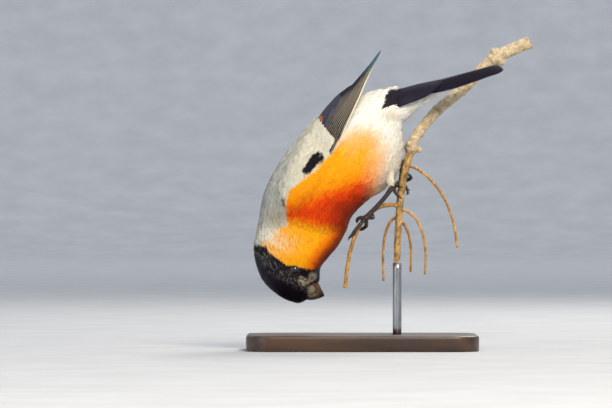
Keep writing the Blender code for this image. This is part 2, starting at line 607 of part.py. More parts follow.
def make_leg(name, leg, toes, route, stalk_radius, materials, collection):
    """A thigh cut clear of the body, a tarsus, and a foot whose toes close round a stalk, each with its claw."""
    heel = np.array(leg["heel"])
    hip = np.array(leg["hip"])
    thigh = tube("thigh_" + name, [hip, hip * 0.45 + heel * 0.55, heel], THIGH_RADII, materials["rump_white"],
                 collection, sides=14, steps=3)
    grip = smooth_rows(route, leg["grip"])
    radial = heel - grip
    reach = stalk_radius + GAP + TOE_RADII[0]
    ball = stalk_point(route, leg["grip"], 0.0, radial, 0.0, reach + 0.5)
    down = (ball - heel) / np.linalg.norm(ball - heel)
    bulge = np.cross(down, (0.0, 1.0, 0.0)) * 0.5
    shank = [heel, heel * 0.6 + ball * 0.4 + bulge, ball - down * 1.9]
    tube("tarsus_" + name, [heel + down * GAP] + shank[1:], TARSUS_RADII, materials["leg"], collection, sides=10,
         steps=3)
    clear_of_body = body_length("clear_of_body", 5.0, 11.0, 30, materials["leg"], collection, grow=GAP)
    clear_of_shank = tube("clear_of_shank", shank, [r + GAP + 0.05 for r in TARSUS_RADII], materials["leg"],
                          collection, sides=14, steps=3)
    join_pieces(thigh, [clear_of_body, clear_of_shank], "DIFFERENCE")
    bpy.ops.mesh.primitive_uv_sphere_add(segments=12, ring_count=8, radius=1.45 * MM, location=Vector(ball) * MM)
    foot = bpy.context.object
    claim(foot, "foot_" + name, materials["leg"], collection)
    pieces = []
    for number, (first, last, advance) in enumerate(toes, 1):
        turns = np.linspace(0, 1, 5)
        path = [stalk_point(route, leg["grip"], advance * t**0.8, radial, first * min(1, t * 3) + (last - first) * t,
                            reach + 0.25 * math.sin(math.pi * t)) for t in turns]
        path[0] = ball
        pieces.append(tube(f"toe_{number}", path, TOE_RADII, materials["leg"], collection, sides=7, steps=2))
        sign = 1 if last > first else -1
        claw = [stalk_point(route, leg["grip"], advance * (1 + 0.22 * t), radial, last + sign * CLAW_TURN * t,
                            reach + 0.55 * math.sin(math.pi * t * 0.8) - 0.5 * t) for t in (0, 0.34, 0.67, 1.0)]
        along = (np.array(claw[0]) - path[-2]) / np.linalg.norm(np.array(claw[0]) - path[-2])
        claw = [c + along * GAP * 1.2 for c in claw]
        tube(f"claw_{name}_{number}", claw, CLAW_RADII, materials["claw"], collection, sides=7, steps=2)
    join_pieces(foot, pieces)


def make_perch(materials, collection):
    """The twig with its end knob and buds, the hanging stem, and the stalks that leave it, all cut short."""
    twig = tube("perch_twig", TWIG_ROUTE, TWIG_RADII, materials["bark"], collection, sides=12, steps=3)
    bumps = []
    for number, (x, y, z, radius) in enumerate(((*KNOB, KNOB_RADIUS), *BUDS)):
        bpy.ops.mesh.primitive_uv_sphere_add(segments=10, ring_count=6, radius=radius * MM,
                                             location=(x * MM, y * MM, z * MM))
        claim(bpy.context.object, f"bump_{number}", materials["bark"], collection)
        bumps.append(bpy.context.object)
    join_pieces(twig, bumps)
    stem = tube("perch_stem", STEM_ROUTE, STEM_RADII, materials["bark"], collection, sides=10, steps=3)
    bpy.ops.mesh.primitive_uv_sphere_add(segments=24, ring_count=16, radius=(KNOB_RADIUS + GAP) * MM,
                                         location=Vector(KNOB) * MM)
    claim(bpy.context.object, "knob_clear", materials["bark"], collection)
    join_pieces(stem, [bpy.context.object], "DIFFERENCE")
    wide = [radius + GAP + 0.05 for radius in STEM_RADII]
    stalks = {"perch_stalk_left": (LEFT_STALK, STALK_RADII)}
    stalks.update({key: (route, THIN_STALK_RADII) for key, route in THIN_STALKS.items()})
    for name, (route, radii) in stalks.items():
        stalk = tube(name, route, radii, materials["stalk"], collection, sides=7, steps=2)
        clear = tube("stem_clear", STEM_ROUTE, wide, materials["bark"], collection, sides=16)
        join_pieces(stalk, [clear], "DIFFERENCE")


def make_stand(materials, collection):
    """A flat base with round corners, and one rod up to the stem's cut end."""
    bpy.ops.mesh.primitive_cube_add(size=1.0, location=(0, 0, BASE_SIZE[2] / 2 * MM))
    base = bpy.context.object
    base.scale = tuple(side * MM for side in BASE_SIZE)
    claim(base, "stand_base", materials["stand_wood"], collection)
    shell = bmesh.new()
    shell.from_mesh(base.data)
    upright = [e for e in shell.edges if abs(e.verts[0].co.z - e.verts[1].co.z) > MM]
    bmesh.ops.bevel(shell, geom=upright, offset=BASE_CORNER * MM, segments=6, affect="EDGES", profile=0.5)
    rim = [e for e in shell.edges if min(v.co.z for v in e.verts) > (BASE_SIZE[2] - 0.1) * MM]
    bmesh.ops.bevel(shell, geom=rim, offset=1.0 * MM, segments=2, affect="EDGES", profile=0.5)
    shell.to_mesh(base.data)
    shell.free()
    top = STEM_ROUTE[-1]
    height = top[2] - GAP - BASE_SIZE[2] - GAP
    bpy.ops.mesh.primitive_cylinder_add(vertices=20, radius=ROD_RADIUS * MM, depth=height * MM,
                                        location=(top[0] * MM, top[1] * MM, (BASE_SIZE[2] + GAP + height / 2) * MM))
    claim(bpy.context.object, "stand_rod", materials["stand_steel"], collection)


def main():
    for obj in list(bpy.data.objects):
        bpy.data.objects.remove(obj)
    bird = bpy.data.collections.new("bullfinch")
    bpy.context.scene.collection.children.link(bird)
    materials = {
        "cap_black": new_material("cap_black", (0.012, 0.011, 0.016), 0.5),
        "breast_orange": new_material("breast_orange", (0.85, 0.22, 0.02), 0.8),
        "rump_white": new_material("rump_white", (0.80, 0.79, 0.74), 0.8),
        "wing_black": new_material("wing_black", (0.02, 0.018, 0.03), 0.45),
        "bill": new_material("bill", (0.05, 0.045, 0.045), 0.35),
        "leg": new_material("leg", (0.06, 0.04, 0.035), 0.5),
        "claw": new_material("claw", (0.03, 0.025, 0.025), 0.3),
        "eye": new_material("eye", (0.01, 0.006, 0.006), 0.05),
        "bark": new_material("bark", (0.45, 0.36, 0.22), 0.8),
        "stalk": new_material("stalk", (0.62, 0.43, 0.18), 0.75),
        "stand_wood": new_material("stand_wood", (0.08, 0.045, 0.025), 0.45),
        "stand_steel": new_material("stand_steel", (0.55, 0.55, 0.56), 0.3, 1.0),
    }
    gap = GAP / 2
    head = body_length("head", 0.0, HEAD_END, 16, materials["cap_black"], bird, trail=gap)
    body_length("neck", HEAD_END, NECK_END, 7, materials["breast_orange"], bird, lead=gap, trail=gap)
    torso = body_length("torso", NECK_END, TORSO_END, 14, materials["breast_orange"], bird, lead=gap, trail=gap)
    body_length("rump", TORSO_END, 11.0, 6, materials["rump_white"], bird, lead=gap)
    whole = body_length("whole", 0.0, 11.0, 40, materials["rump_white"], bird)
    make_eyes(head, whole, materials, bird)
    for name, side in (("wing_left", 1), ("wing_right", -1)):
        make_wing(name, whole, side, materials, bird)
    bpy.data.objects.remove(whole)
    make_tail(materials, bird)
    make_undertail(materials, bird)
    make_bill(materials, bird)
    make_leg("left", LEFT_LEG, LEFT_TOES, LEFT_STALK, STALK_RADII[0], materials, bird)
    make_leg("right", RIGHT_LEG, RIGHT_TOES, STEM_ROUTE, STEM_RADII[0], materials, bird)
    make_perch(materials, bird)
    make_stand(materials, bird)


main()
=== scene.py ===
# A male bullfinch hanging head down on a cut ash twig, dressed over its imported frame.
# Sizes are in millimetres until a mesh is made. The bird's middle plane is the XZ plane,
# its head is towards -X and low, and its left side faces -Y, towards the camera.

import math

import bmesh
import bpy
import numpy as np
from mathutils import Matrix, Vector


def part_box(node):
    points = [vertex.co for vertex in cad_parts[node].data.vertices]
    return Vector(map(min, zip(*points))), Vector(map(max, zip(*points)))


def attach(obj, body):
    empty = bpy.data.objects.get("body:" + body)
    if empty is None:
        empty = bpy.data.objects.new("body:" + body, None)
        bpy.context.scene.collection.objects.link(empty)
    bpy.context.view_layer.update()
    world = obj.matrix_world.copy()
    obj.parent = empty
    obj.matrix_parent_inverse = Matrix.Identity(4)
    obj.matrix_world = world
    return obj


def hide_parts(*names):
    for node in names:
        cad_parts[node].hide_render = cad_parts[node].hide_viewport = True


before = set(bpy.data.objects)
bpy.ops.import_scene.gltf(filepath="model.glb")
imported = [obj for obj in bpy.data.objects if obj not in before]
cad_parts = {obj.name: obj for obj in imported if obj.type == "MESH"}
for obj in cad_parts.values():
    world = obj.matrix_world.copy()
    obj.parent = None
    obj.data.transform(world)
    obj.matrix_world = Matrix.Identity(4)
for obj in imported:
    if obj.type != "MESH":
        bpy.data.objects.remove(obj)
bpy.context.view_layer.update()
rng = np.random.default_rng(20)


def linear(code):
    # an sRGB hex code as linear red, green and blue
    parts = np.array([int(code[i:i + 2], 16) for i in (1, 3, 5)]) / 255
    return np.where(parts <= 0.04045, parts / 12.92, ((parts + 0.055) / 1.055) ** 2.4)


def smooth(low, high, value):
    # 0 below low, 1 above high, and an S curve between
    t = np.clip((value - low) / (high - low), 0, 1)
    return t * t * (3 - 2 * t)


def unit(rows):
    # each row scaled to length 1
    return rows / np.maximum(np.linalg.norm(rows, axis=-1, keepdims=True), 1e-12)


def feed(tree, node, inputs):
    # gives a node's sockets their numbers, or links them from other nodes' outputs
    for key, value in inputs.items():
        if isinstance(value, bpy.types.NodeSocket):
            tree.links.new(value, node.inputs[key])
        else:
            node.inputs[key].default_value = value


def addNode(tree, kind, inputs={}, **settings):
    # one shader node, with its settings and its sockets' numbers and links
    node = tree.nodes.new(kind)
    for key, value in settings.items():
        setattr(node, key, value)
    feed(tree, node, inputs)
    return node


def newMaterial(name, **numbers):
    # a Principled material, with the numbers that are the same all over it
    material = bpy.data.materials.new(name)
    material.use_nodes = True
    tree = material.node_tree
    shader = tree.nodes["Principled BSDF"]
    feed(tree, shader, {key.replace("_", " "): value for key, value in numbers.items()})
    return material, tree, shader


def gridFaces(rows, columns, closedAcross=False):
    # four-sided faces over rows of points, wrapped round if closedAcross
    r = np.arange(rows - 1)[:, None]
    c = np.arange(columns if closedAcross else columns - 1)[None, :]
    right = (c + 1) % columns
    return np.stack(np.broadcast_arrays(r * columns + c, r * columns + right, (r + 1) * columns + right,
        (r + 1) * columns + c), -1).reshape(-1, 4)


def addPiece(name, points, faces, material, replaces=(), tone=None, uv=None, uvName="OFBake",
        closed=True):
    # a mesh from points in millimetres and faces all of one kind, which rides on the frame;
    # a closed shell is turned to face outwards and welded
    mesh = bpy.data.meshes.new(name)
    points, faces = np.asarray(points, float).reshape(-1, 3), np.asarray(faces)
    if closed:
        faces = facedOut(points, faces)
    sides = faces.shape[1]
    mesh.vertices.add(len(points))
    mesh.vertices.foreach_set("co", (points * 0.001).astype(np.float32).ravel())
    mesh.loops.add(faces.size)
    mesh.loops.foreach_set("vertex_index", faces.astype(np.int32).ravel())
    mesh.polygons.add(len(faces))
    mesh.polygons.foreach_set("loop_start", np.arange(0, faces.size, sides, dtype=np.int32))
    mesh.update(calc_edges=True)
    if tone is not None:
        layer = mesh.color_attributes.new("tone", "FLOAT_COLOR", "POINT")
        layer.data.foreach_set("color", np.column_stack([np.reshape(tone, (-1, 3)),
            np.ones(len(points))]).astype(np.float32).ravel())
    if uv is not None:
        layer = mesh.uv_layers.new(name=uvName)
        layer.data.foreach_set("uv", np.asarray(uv)[faces.ravel()].astype(np.float32).ravel())
    mesh.polygons.foreach_set("use_smooth", np.ones(len(faces), bool))
    mesh.materials.append(material)
    mesh.validate()
    piece = bpy.data.objects.new(name, mesh)
    bpy.context.scene.collection.objects.link(piece)
    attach(piece, "root")
    if replaces:
        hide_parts(*replaces)
    if closed:
        weld(piece)


def splinePoints(rows, where):
    # rows read at fractional positions along a Catmull-Rom curve through them
    rows = np.asarray(rows, float)
    padded = np.vstack([2 * rows[0] - rows[1], rows, 2 * rows[-1] - rows[-2]])
    where = np.clip(np.asarray(where, float), 0, len(rows) - 1)
    at = np.minimum(where.astype(int), len(rows) - 2)
    t = (where - at)[..., None]
    p0, p1, p2, p3 = (padded[at + k] for k in range(4))
    return 0.5 * (2 * p1 + (p2 - p0) * t + (2 * p0 - 5 * p1 + 4 * p2 - p3) * t ** 2
        + (3 * p1 - p0 - 3 * p2 + p3) * t ** 3)


def ripple(points, size, seed=0.0):
    # soft lumps of about that size in millimetres, from -1 to 1, as a sum of crossed waves
    x, y, z = (points[..., k] * (2 * math.pi / size) for k in range(3))
    waves = (np.sin(x + 1.7 * np.sin(0.6 * z + seed) + seed) + np.sin(0.8 * y - 0.5 * z + 1.3
        * np.sin(0.7 * x + 2 * seed)) + np.sin(0.9 * z + 0.4 * x + 1.9 * np.sin(0.5 * y + 3 * seed))
        + np.sin(1.9 * x - 1.6 * z + 1.4 * y + seed))
    return waves / 4


def sweep(route, radii, rings, sides, shape=None):
    # a tube: circles of the given radii, square to a smooth curve through the route's points, with flat
    # ends
    # shape(share, angle, points) may give each point's radius a factor
    share = np.linspace(0, 1, rings)
    centre = splinePoints(route, share * (len(route) - 1))
    radius = np.interp(share, np.linspace(0, 1, len(radii)), radii)
    tangent = unit(np.gradient(centre, axis=0))
    side = unit(np.cross(tangent, (0.0, 1.0, 0.0)) + np.array((1e-6, 0, 0)))
    up = np.cross(tangent, side)
    angle = np.linspace(0, 2 * math.pi, sides, endpoint=False)
    ring = np.cos(angle)[None, :, None] * side[:, None] + np.sin(angle)[None, :, None] * up[:, None]
    factor = np.ones((rings, sides))
    if shape is not None:
        factor = shape(share[:, None] + 0 * angle[None, :], angle[None, :] + 0 * share[:, None],
            centre[:, None] + radius[:, None, None] * ring)
    points = centre[:, None] + (radius[:, None] * factor)[..., None] * ring
    # each end closes through two smaller rings and its middle point
    ends = [[points[k] + (centre[k] - points[k]) * inset for inset in (1.0, 0.5, 0.1)] for k in (0, -1)]
    points = np.concatenate([np.stack(ends[0]), points, np.stack(ends[1][::-1])])
    run = np.concatenate([[0], np.cumsum(np.linalg.norm(np.diff(centre, axis=0), axis=1))])
    run = np.concatenate([[0, 0, 0], run, [run[-1]] * 3])
    uv = np.stack(np.broadcast_arrays(run[:, None] * 0.01, angle[None, :] / (2 * math.pi)), -1)
    cut = np.zeros((rings + 6, sides))
    cut[:3], cut[-3:] = 1, 1
    return (points.reshape(-1, 3), gridFaces(rings + 6, sides, True), uv.reshape(-1, 2),
        np.repeat(np.concatenate([[0, 0, 0], share, [1, 1, 1]]), sides)[:, None], cut.reshape(-1, 1))


def facedOut(points, faces):
    # a closed shell's faces turned outwards: its signed volume about its own middle is made positive
    points = points - points.mean(0)
    volume = sum(np.sum(points[faces[:, 0]] * np.cross(points[faces[:, k]], points[faces[:, k + 1]]))
        for k in range(1, faces.shape[1] - 1))
    return faces if volume > 0 else faces[:, ::-1]


def weld(piece):
    # closes seams and poles where points lie at the same place
    shell = bmesh.new()
    shell.from_mesh(piece.data)
    bmesh.ops.remove_doubles(shell, verts=shell.verts, dist=1e-7)
    shell.to_mesh(piece.data)
    shell.free()


def joined(parts):
    # several (points, faces, extras...) sets as one, with the faces counted on
    counts = np.cumsum([0] + [len(p[0]) for p in parts[:-1]])
    faces = np.vstack([facedOut(p[0], p[1]) + count for p, count in zip(parts, counts)])
    return [np.vstack([p[0] for p in parts]), faces] + [np.vstack([p[k] for p in parts]) for k in range(2,
        len(parts[0]))]


# The body's form.
# Each station is (back x, back z, belly x, belly z, half width), from the bill's base to the rump's end.
body = {
    "stations": [(-25.4, 22.4, -19.2, 31.7, 4.8), (-29.6, 21.2, -18.6, 37.2, 7.6),
        (-37.4, 24.4, -15.4, 41.7, 10.8), (-45.2, 32.2, -11.4, 46.4, 12.8), (-48.8, 45.0, -7.6, 52.4, 13.8),
        (-47.0, 57.0, -4.2, 60.2, 15.6), (-43.8, 71.6, 2.4, 67.2, 19.2), (-37.0, 84.6, 9.2, 71.8, 20.4),
        (-27.5, 96.8, 15.1, 77.9, 19.8), (-14.8, 107.2, 18.2, 88.4, 16.4), (0.0, 114.8, 18.0, 100.1, 10.9),
        (12.2, 117.9, 20.0, 103.7, 7.0)],
    "sectionPower": 2.15,
    # how far the skin lies under the feathers' surface, at each station
    "coatDepth": [0.2, 0.3, 0.4, 0.45, 0.5, 0.6, 0.65, 0.65, 0.65, 0.6, 0.55, 0.4],
    "bareDent": 1.1,  # how much deeper the bare base of the bill lies
    "rings": 260, "sides": 160,
}
lastStation = len(body["stations"]) - 1
wing = {
    "wrist": np.array([-33.3, 61.65]), "tip": np.array([8.55, 135.0]), "tipOffset": 3.6, "clear": 0.95,
    "backEdge": ((-3.0, -3.0), (5.0, -7.4), (15.0, -9.4), (30.0, -9.8), (43.0, -8.8), (57.0, -7.3),
        (62.3, -5.0), (65.2, -3.8), (70.5, -2.3), (75.6, -1.4), (80.0, -0.9), (84.4, -0.4)),
    "leadingEdge": ((-3.0, 0.6), (5.0, 3.2), (20.0, 4.2), (35.0, 3.9), (47.0, 3.0), (53.0, 2.3),
        (59.0, 1.6), (64.0, 0.7), (68.0, 0.0), (72.0, -0.6), (76.0, -0.5), (80.0, 0.0), (84.4, 0.3)),
    # the quills bend towards the back edge near their tips: (along, shift across)
    "sag": ((50.0, 0.0), (60.0, -0.3), (68.0, -0.8), (74.0, -0.8), (80.0, -0.4), (84.4, 0.0)),
    # the plumage covers the wing as far as this line, (along, across) at its back and leading ends
    "coverLine": ((43.4, -9.2), (37.6, 2.4)),
    "bulge": 2.2,
}
wing["length"] = float(np.linalg.norm(wing["tip"] - wing["wrist"]))
wing["along"] = (wing["tip"] - wing["wrist"]) / wing["length"]
wing["across"] = np.array([wing["along"][1], -wing["along"][0]])


def wingCoords(x, z):
    # (along, across) of a place in the wing's own directions
    relX, relZ = x - wing["wrist"][0], z - wing["wrist"][1]
    return (relX * wing["along"][0] + relZ * wing["along"][1],
        relX * wing["across"][0] + relZ * wing["across"][1])


def edgeAt(rows, along):
    # an edge's offset across the wing, read at a distance along it
    rows = np.array(rows)
    return np.interp(along, rows[:, 0], rows[:, 1])


def coverEnd(across):
    # how far along the wing the plumage reaches, at an offset across it
    (backAlong, backAcross), (frontAlong, frontAcross) = wing["coverLine"]
    return backAlong + (frontAlong - backAlong) * (across - backAcross) / (frontAcross - backAcross)


def bulgeAt(x, z):
    # the swelling of the plumage over the folded wing
    along, across = wingCoords(x, z)
    inside = (smooth(-7, 3, along) * (1 - smooth(-5, 1.5, along - coverEnd(across))) * smooth(-3.5, 2.5,
        across - edgeAt(wing["backEdge"], along)) * smooth(-3.5, 3.0,
        edgeAt(wing["leadingEdge"], along) - across))
    return wing["bulge"] * inside


def lineNear(x, z, corners):
    # distance from a bent line of the side view
    away = np.full(np.shape(x), 1e9)
    for (ax, az), (bx, bz) in zip(corners[:-1], corners[1:]):
        run = np.clip(((x - ax) * (bx - ax) + (z - az) * (bz - az)) / ((bx - ax) ** 2 + (bz - az) ** 2), 0,
            1)
        away = np.minimum(away, np.hypot(x - ax - run * (bx - ax), z - az - run * (bz - az)))
    return away


def areaDepth(x, z, outline):
    # how far inside an outline of the side view a place lies, negative outside it
    outline = outline + outline[:1]
    inside = np.zeros(np.shape(x), bool)
    for (ax, az), (bx, bz) in zip(outline[:-1], outline[1:]):
        inside ^= ((az > z) != (bz > z)) & (x < (bx - ax) * (z - az) / (bz - az + 1e-12) + ax)
    away = lineNear(x, z, outline)
    return np.where(inside, away, -away)


# the side of the bill's base, which has no feathers
bareBillBase = [(-24.9, 28.4), (-24.2, 23.6), (-22.0, 21.6), (-18.2, 29.7), (-21.2, 30.4)]


crease = {"from": np.array([-36.0, 57.0]), "to": np.array([-12.5, 51.5]), "depth": 0.5, "width": 2.6}


def creaseAt(x, z):
    # the dent between the cheek and the breast: its depth falls off as a bell curve from a waved line
    start, end = crease["from"], crease["to"]
    line = (end - start) / np.linalg.norm(end - start)
    relX, relZ = x - start[0], z - start[1]
    off = relZ * line[0] - relX * line[1] + 1.6 * np.sin((relX * line[0] + relZ * line[1]) / 7.5)
    run = (relX * line[0] + relZ * line[1]) / np.linalg.norm(end - start)
    return crease["depth"] * np.exp(-(off / crease["width"]) ** 2) * smooth(-0.05, 0.25,
        run) * (1 - smooth(0.9, 1.3, run))


def bodySection(station, angle, grow):
    # superellipse sections in the planes through the back and belly points, angle 0 at the back
    rows = splinePoints(body["stations"], station)
    middle = (rows[..., 0:2] + rows[..., 2:4]) / 2
    half = (rows[..., 0:2] - rows[..., 2:4]) / 2
    half = half * (1 + grow / np.linalg.norm(half, axis=-1))[..., None]
    power = 2 / body["sectionPower"]
    along = np.sign(np.cos(angle)) * np.abs(np.cos(angle)) ** power
    side = np.sign(np.sin(angle)) * np.abs(np.sin(angle)) ** power
    return np.stack([middle[..., 0] + half[..., 0] * along, -(rows[..., 4] + grow) * side,
        middle[..., 1] + half[..., 1] * along], -1)


def skinBase(station, angle):
    # the sections less the coat's depth, before any swelling or dent
    depth = np.interp(station, np.arange(lastStation + 1), body["coatDepth"])
    return bodySection(station, angle, -depth)


def outward(surface, station, angle, step=0.02):
    # the surface's outward normal and the way that the feathers lie, from its slopes
    along = surface(station + step, angle) - surface(station - step, angle)
    around = surface(station, angle + step) - surface(station, angle - step)
    return unit(np.cross(around, along)), unit(along)


def skinPoint(station, angle):
    # the skin: the body's sections less the coat's depth, swollen over the wings, dented at the crease
    inner = np.clip(station, 0.05, 10.95)
    base = skinBase(station, angle)
    normal, _ = outward(skinBase, inner, angle)
    lift = bulgeAt(base[..., 0], base[..., 2]) - creaseAt(base[..., 0], base[..., 2])
    lift = lift - body["bareDent"] * smooth(-0.9, 0.5, areaDepth(base[..., 0], base[..., 2], bareBillBase))
    return base + normal * lift[..., None]


def halfWidthAt(x, z):
    # the body's half width at places of its side view: the ring whose plane holds the place gives it
    where = np.linspace(0, lastStation, 441)
    rows = splinePoints(body["stations"], where)
    middle = (rows[:, 0:2] + rows[:, 2:4]) / 2
    half = (rows[:, 0:2] - rows[:, 2:4]) / 2
    size = np.linalg.norm(half, axis=1)
    line = half / size[:, None]
    flatX, flatZ = np.ravel(x), np.ravel(z)
    relX, relZ = flatX[:, None] - middle[None, :, 0], flatZ[:, None] - middle[None, :, 1]
    off = np.abs(relX * line[None, :, 1] - relZ * line[None, :, 0])
    share = np.abs(relX * line[None, :, 0] + relZ * line[None, :, 1]) / size[None, :]
    best = np.argmin(off + np.where(share > 1.3, 50.0, 0.0), axis=1)
    pick = np.arange(len(flatX))
    inside = np.clip(1 - share[pick, best] ** body["sectionPower"], 0, 1) ** (1 / body["sectionPower"])
    inside = np.where(off[pick, best] < 1.0, inside, 0.0)
    return (rows[best, 4] * inside).reshape(np.shape(x))


def wingSurface(along, across):
    # the folded wing lies on the body, then runs free towards the middle plane at its tip
    x = wing["wrist"][0] + wing["along"][0] * along + wing["across"][0] * across
    z = wing["wrist"][1] + wing["along"][1] * along + wing["across"][1] * across
    half = halfWidthAt(x, z)
    onBody = np.where(half > 0, half + wing["clear"], 0.0)
    past = wing["length"] - np.maximum(along, 47.0)
    free = wing["tipOffset"] + 0.289 * past + (0.35 + 0.0105 * past) * across - 0.02 * across ** 2
    return np.stack([x, -np.logaddexp(onBody, free), z], -1)


def wingPlace(along, across, height, side):
    # a point at a height over the wing's surface; side is 1 for the left wing and -1 for the right
    step = 0.6
    normal = unit(np.cross(wingSurface(along + step, across) - wingSurface(along - step, across),
        wingSurface(along, across + step) - wingSurface(along, across - step)))
    normal = normal * -np.sign(normal[..., 1:2])
    point = wingSurface(along, across) + normal * np.asarray(height)[..., None]
    return point * np.array([1.0, side, 1.0])


# Markings, shared by the skin and the coat.
markings = {
    "cap": linear("#120819"), "capFleck": linear("#8a8a7e"), "paintedGlint": linear("#dccfb2"),
    # the mantle's bluish and brownish shade tones are painted shade
    "mantle": linear("#d7d3bf"), "mantlePaintedShade": linear("#a6aaad"), "mantlePaintedWarmShade": linear("#8f8064"),
    # the belly's beige is painted shade
    "collar": linear("#e6e2d0"), "white": linear("#ebe9e2"), "belly": linear("#e2dac8"),
    # the undertail's beige is a painted shadow
    "undertailPaintedShadow": linear("#b49f7a"), "peach": linear("#f9ba7c"), "cheek": linear("#ffb20a"),
    "frost": linear("#ffe8c4"), "bar": linear("#c9c5b4"), "wingBlack": linear("#17121b"),
    "tailBlack": linear("#221d29"), "streak": linear("#3b302b"),
    # the orange from the flank's yellow side to the belly side: its reds are partly the breast's own colour
    # and partly painted shade, its darkest red-brown painted shade
    "orange": [linear(tone) for tone in ("#ffa90d", "#ff9e04", "#f64c02", "#cc3603", "#962a06")],
    # outlines in the side view, (x, z)
    "orangeArea": [(-45.0, 49.1), (-44.8, 46.0), (-42.8, 43.0), (-38.0, 39.5), (-33.0, 36.0), (-27.0, 34.5),
        (-20.0, 34.5), (-10.0, 37.0), (-4.5, 47.2), (-0.9, 56.2), (2.7, 64.4), (7.2, 68.4), (7.7, 72.0),
        (9.0, 77.4), (10.3, 83.2), (9.9, 90.0), (8.1, 95.9), (4.5, 99.5), (-0.9, 100.1), (-6.5, 98.5),
        (-9.9, 94.5), (-12.2, 90.0), (-16.7, 85.5), (-22.3, 79.3), (-27.9, 75.4), (-31.9, 72.0),
        (-34.2, 67.5), (-34.4, 60.8), (-33.3, 56.7), (-37.8, 54.0), (-42.3, 51.8)],
    "capArea": [(-54.0, 47.2), (-48.5, 47.0), (-42.8, 46.7), (-42.2, 44.2), (-37.8, 41.0), (-34.0, 38.3),
        (-32.0, 38.3), (-30.2, 38.3), (-27.2, 37.0), (-21.8, 36.2), (-19.8, 37.2), (-13.5, 37.0),
        (-10.8, 20.2), (-27.9, 11.2), (-54.0, 20.2)],
    "patchArea": [(-27.8, 79.9), (-25.2, 82.9), (-22.5, 87.5), (-20.0, 88.5), (-17.5, 87.2), (-17.7, 84.8),
        (-20.9, 82.4), (-23.4, 79.0), (-25.7, 78.0)],
    # the black feathers over the tail's root, seen from the side
    "covertArea": [(11.6, 116.4), (11.0, 115.2), (9.6, 112.4), (8.3, 108.0), (12.6, 109.1), (20.0, 111.9),
        (26.0, 114.0), (26.0, 118.5), (15.0, 116.9)],
    # the painted highlight: pale flecks before the eye, where the bristles by the bill catch the light
    "paintedGlintLine": [(-27.2, 31.6), (-24.6, 29.7), (-22.7, 31.4), (-22.2, 33.4)],
    # the orange deepens square to this line, partly the breast's own red and partly painted shade, from its
    # place and direction in the side view
    "orangeTurn": ((0.9, 72.9), (-0.3625, 0.932)),
    # the band of grey flecks on the cap, from the nape to the bill's base, and the belly's outline
    "fleckBandLine": [(-45.6, 44.0), (-41.4, 38.0), (-36.0, 34.2), (-30.2, 31.0), (-24.6, 28.6)],
    "bellyLine": [(-18.6, 37.2), (-15.4, 41.7), (-11.4, 46.4), (-7.6, 52.4), (-4.2, 60.2), (2.4, 67.2),
        (9.2, 71.8)],
    "mantleArea": [(-51.3, 48.1), (-47.7, 47.7), (-45.0, 49.1), (-42.3, 51.8), (-37.8, 54.0), (-33.3, 56.7),
        (-34.4, 60.8), (-34.2, 67.5), (-31.9, 72.0), (-27.9, 75.4), (-22.3, 79.3), (-16.7, 85.5),
        (-12.2, 90.0), (-12.6, 93.2), (-16.2, 99.0), (-19.8, 104.0), (-25.7, 112.5), (-36.9, 101.2),
        (-54.9, 72.0), (-54.9, 51.8)],
}


def mix(under, over, share):
    # one colour laid over another by a share from 0 to 1
    return under + (over - under) * np.asarray(share)[..., None]


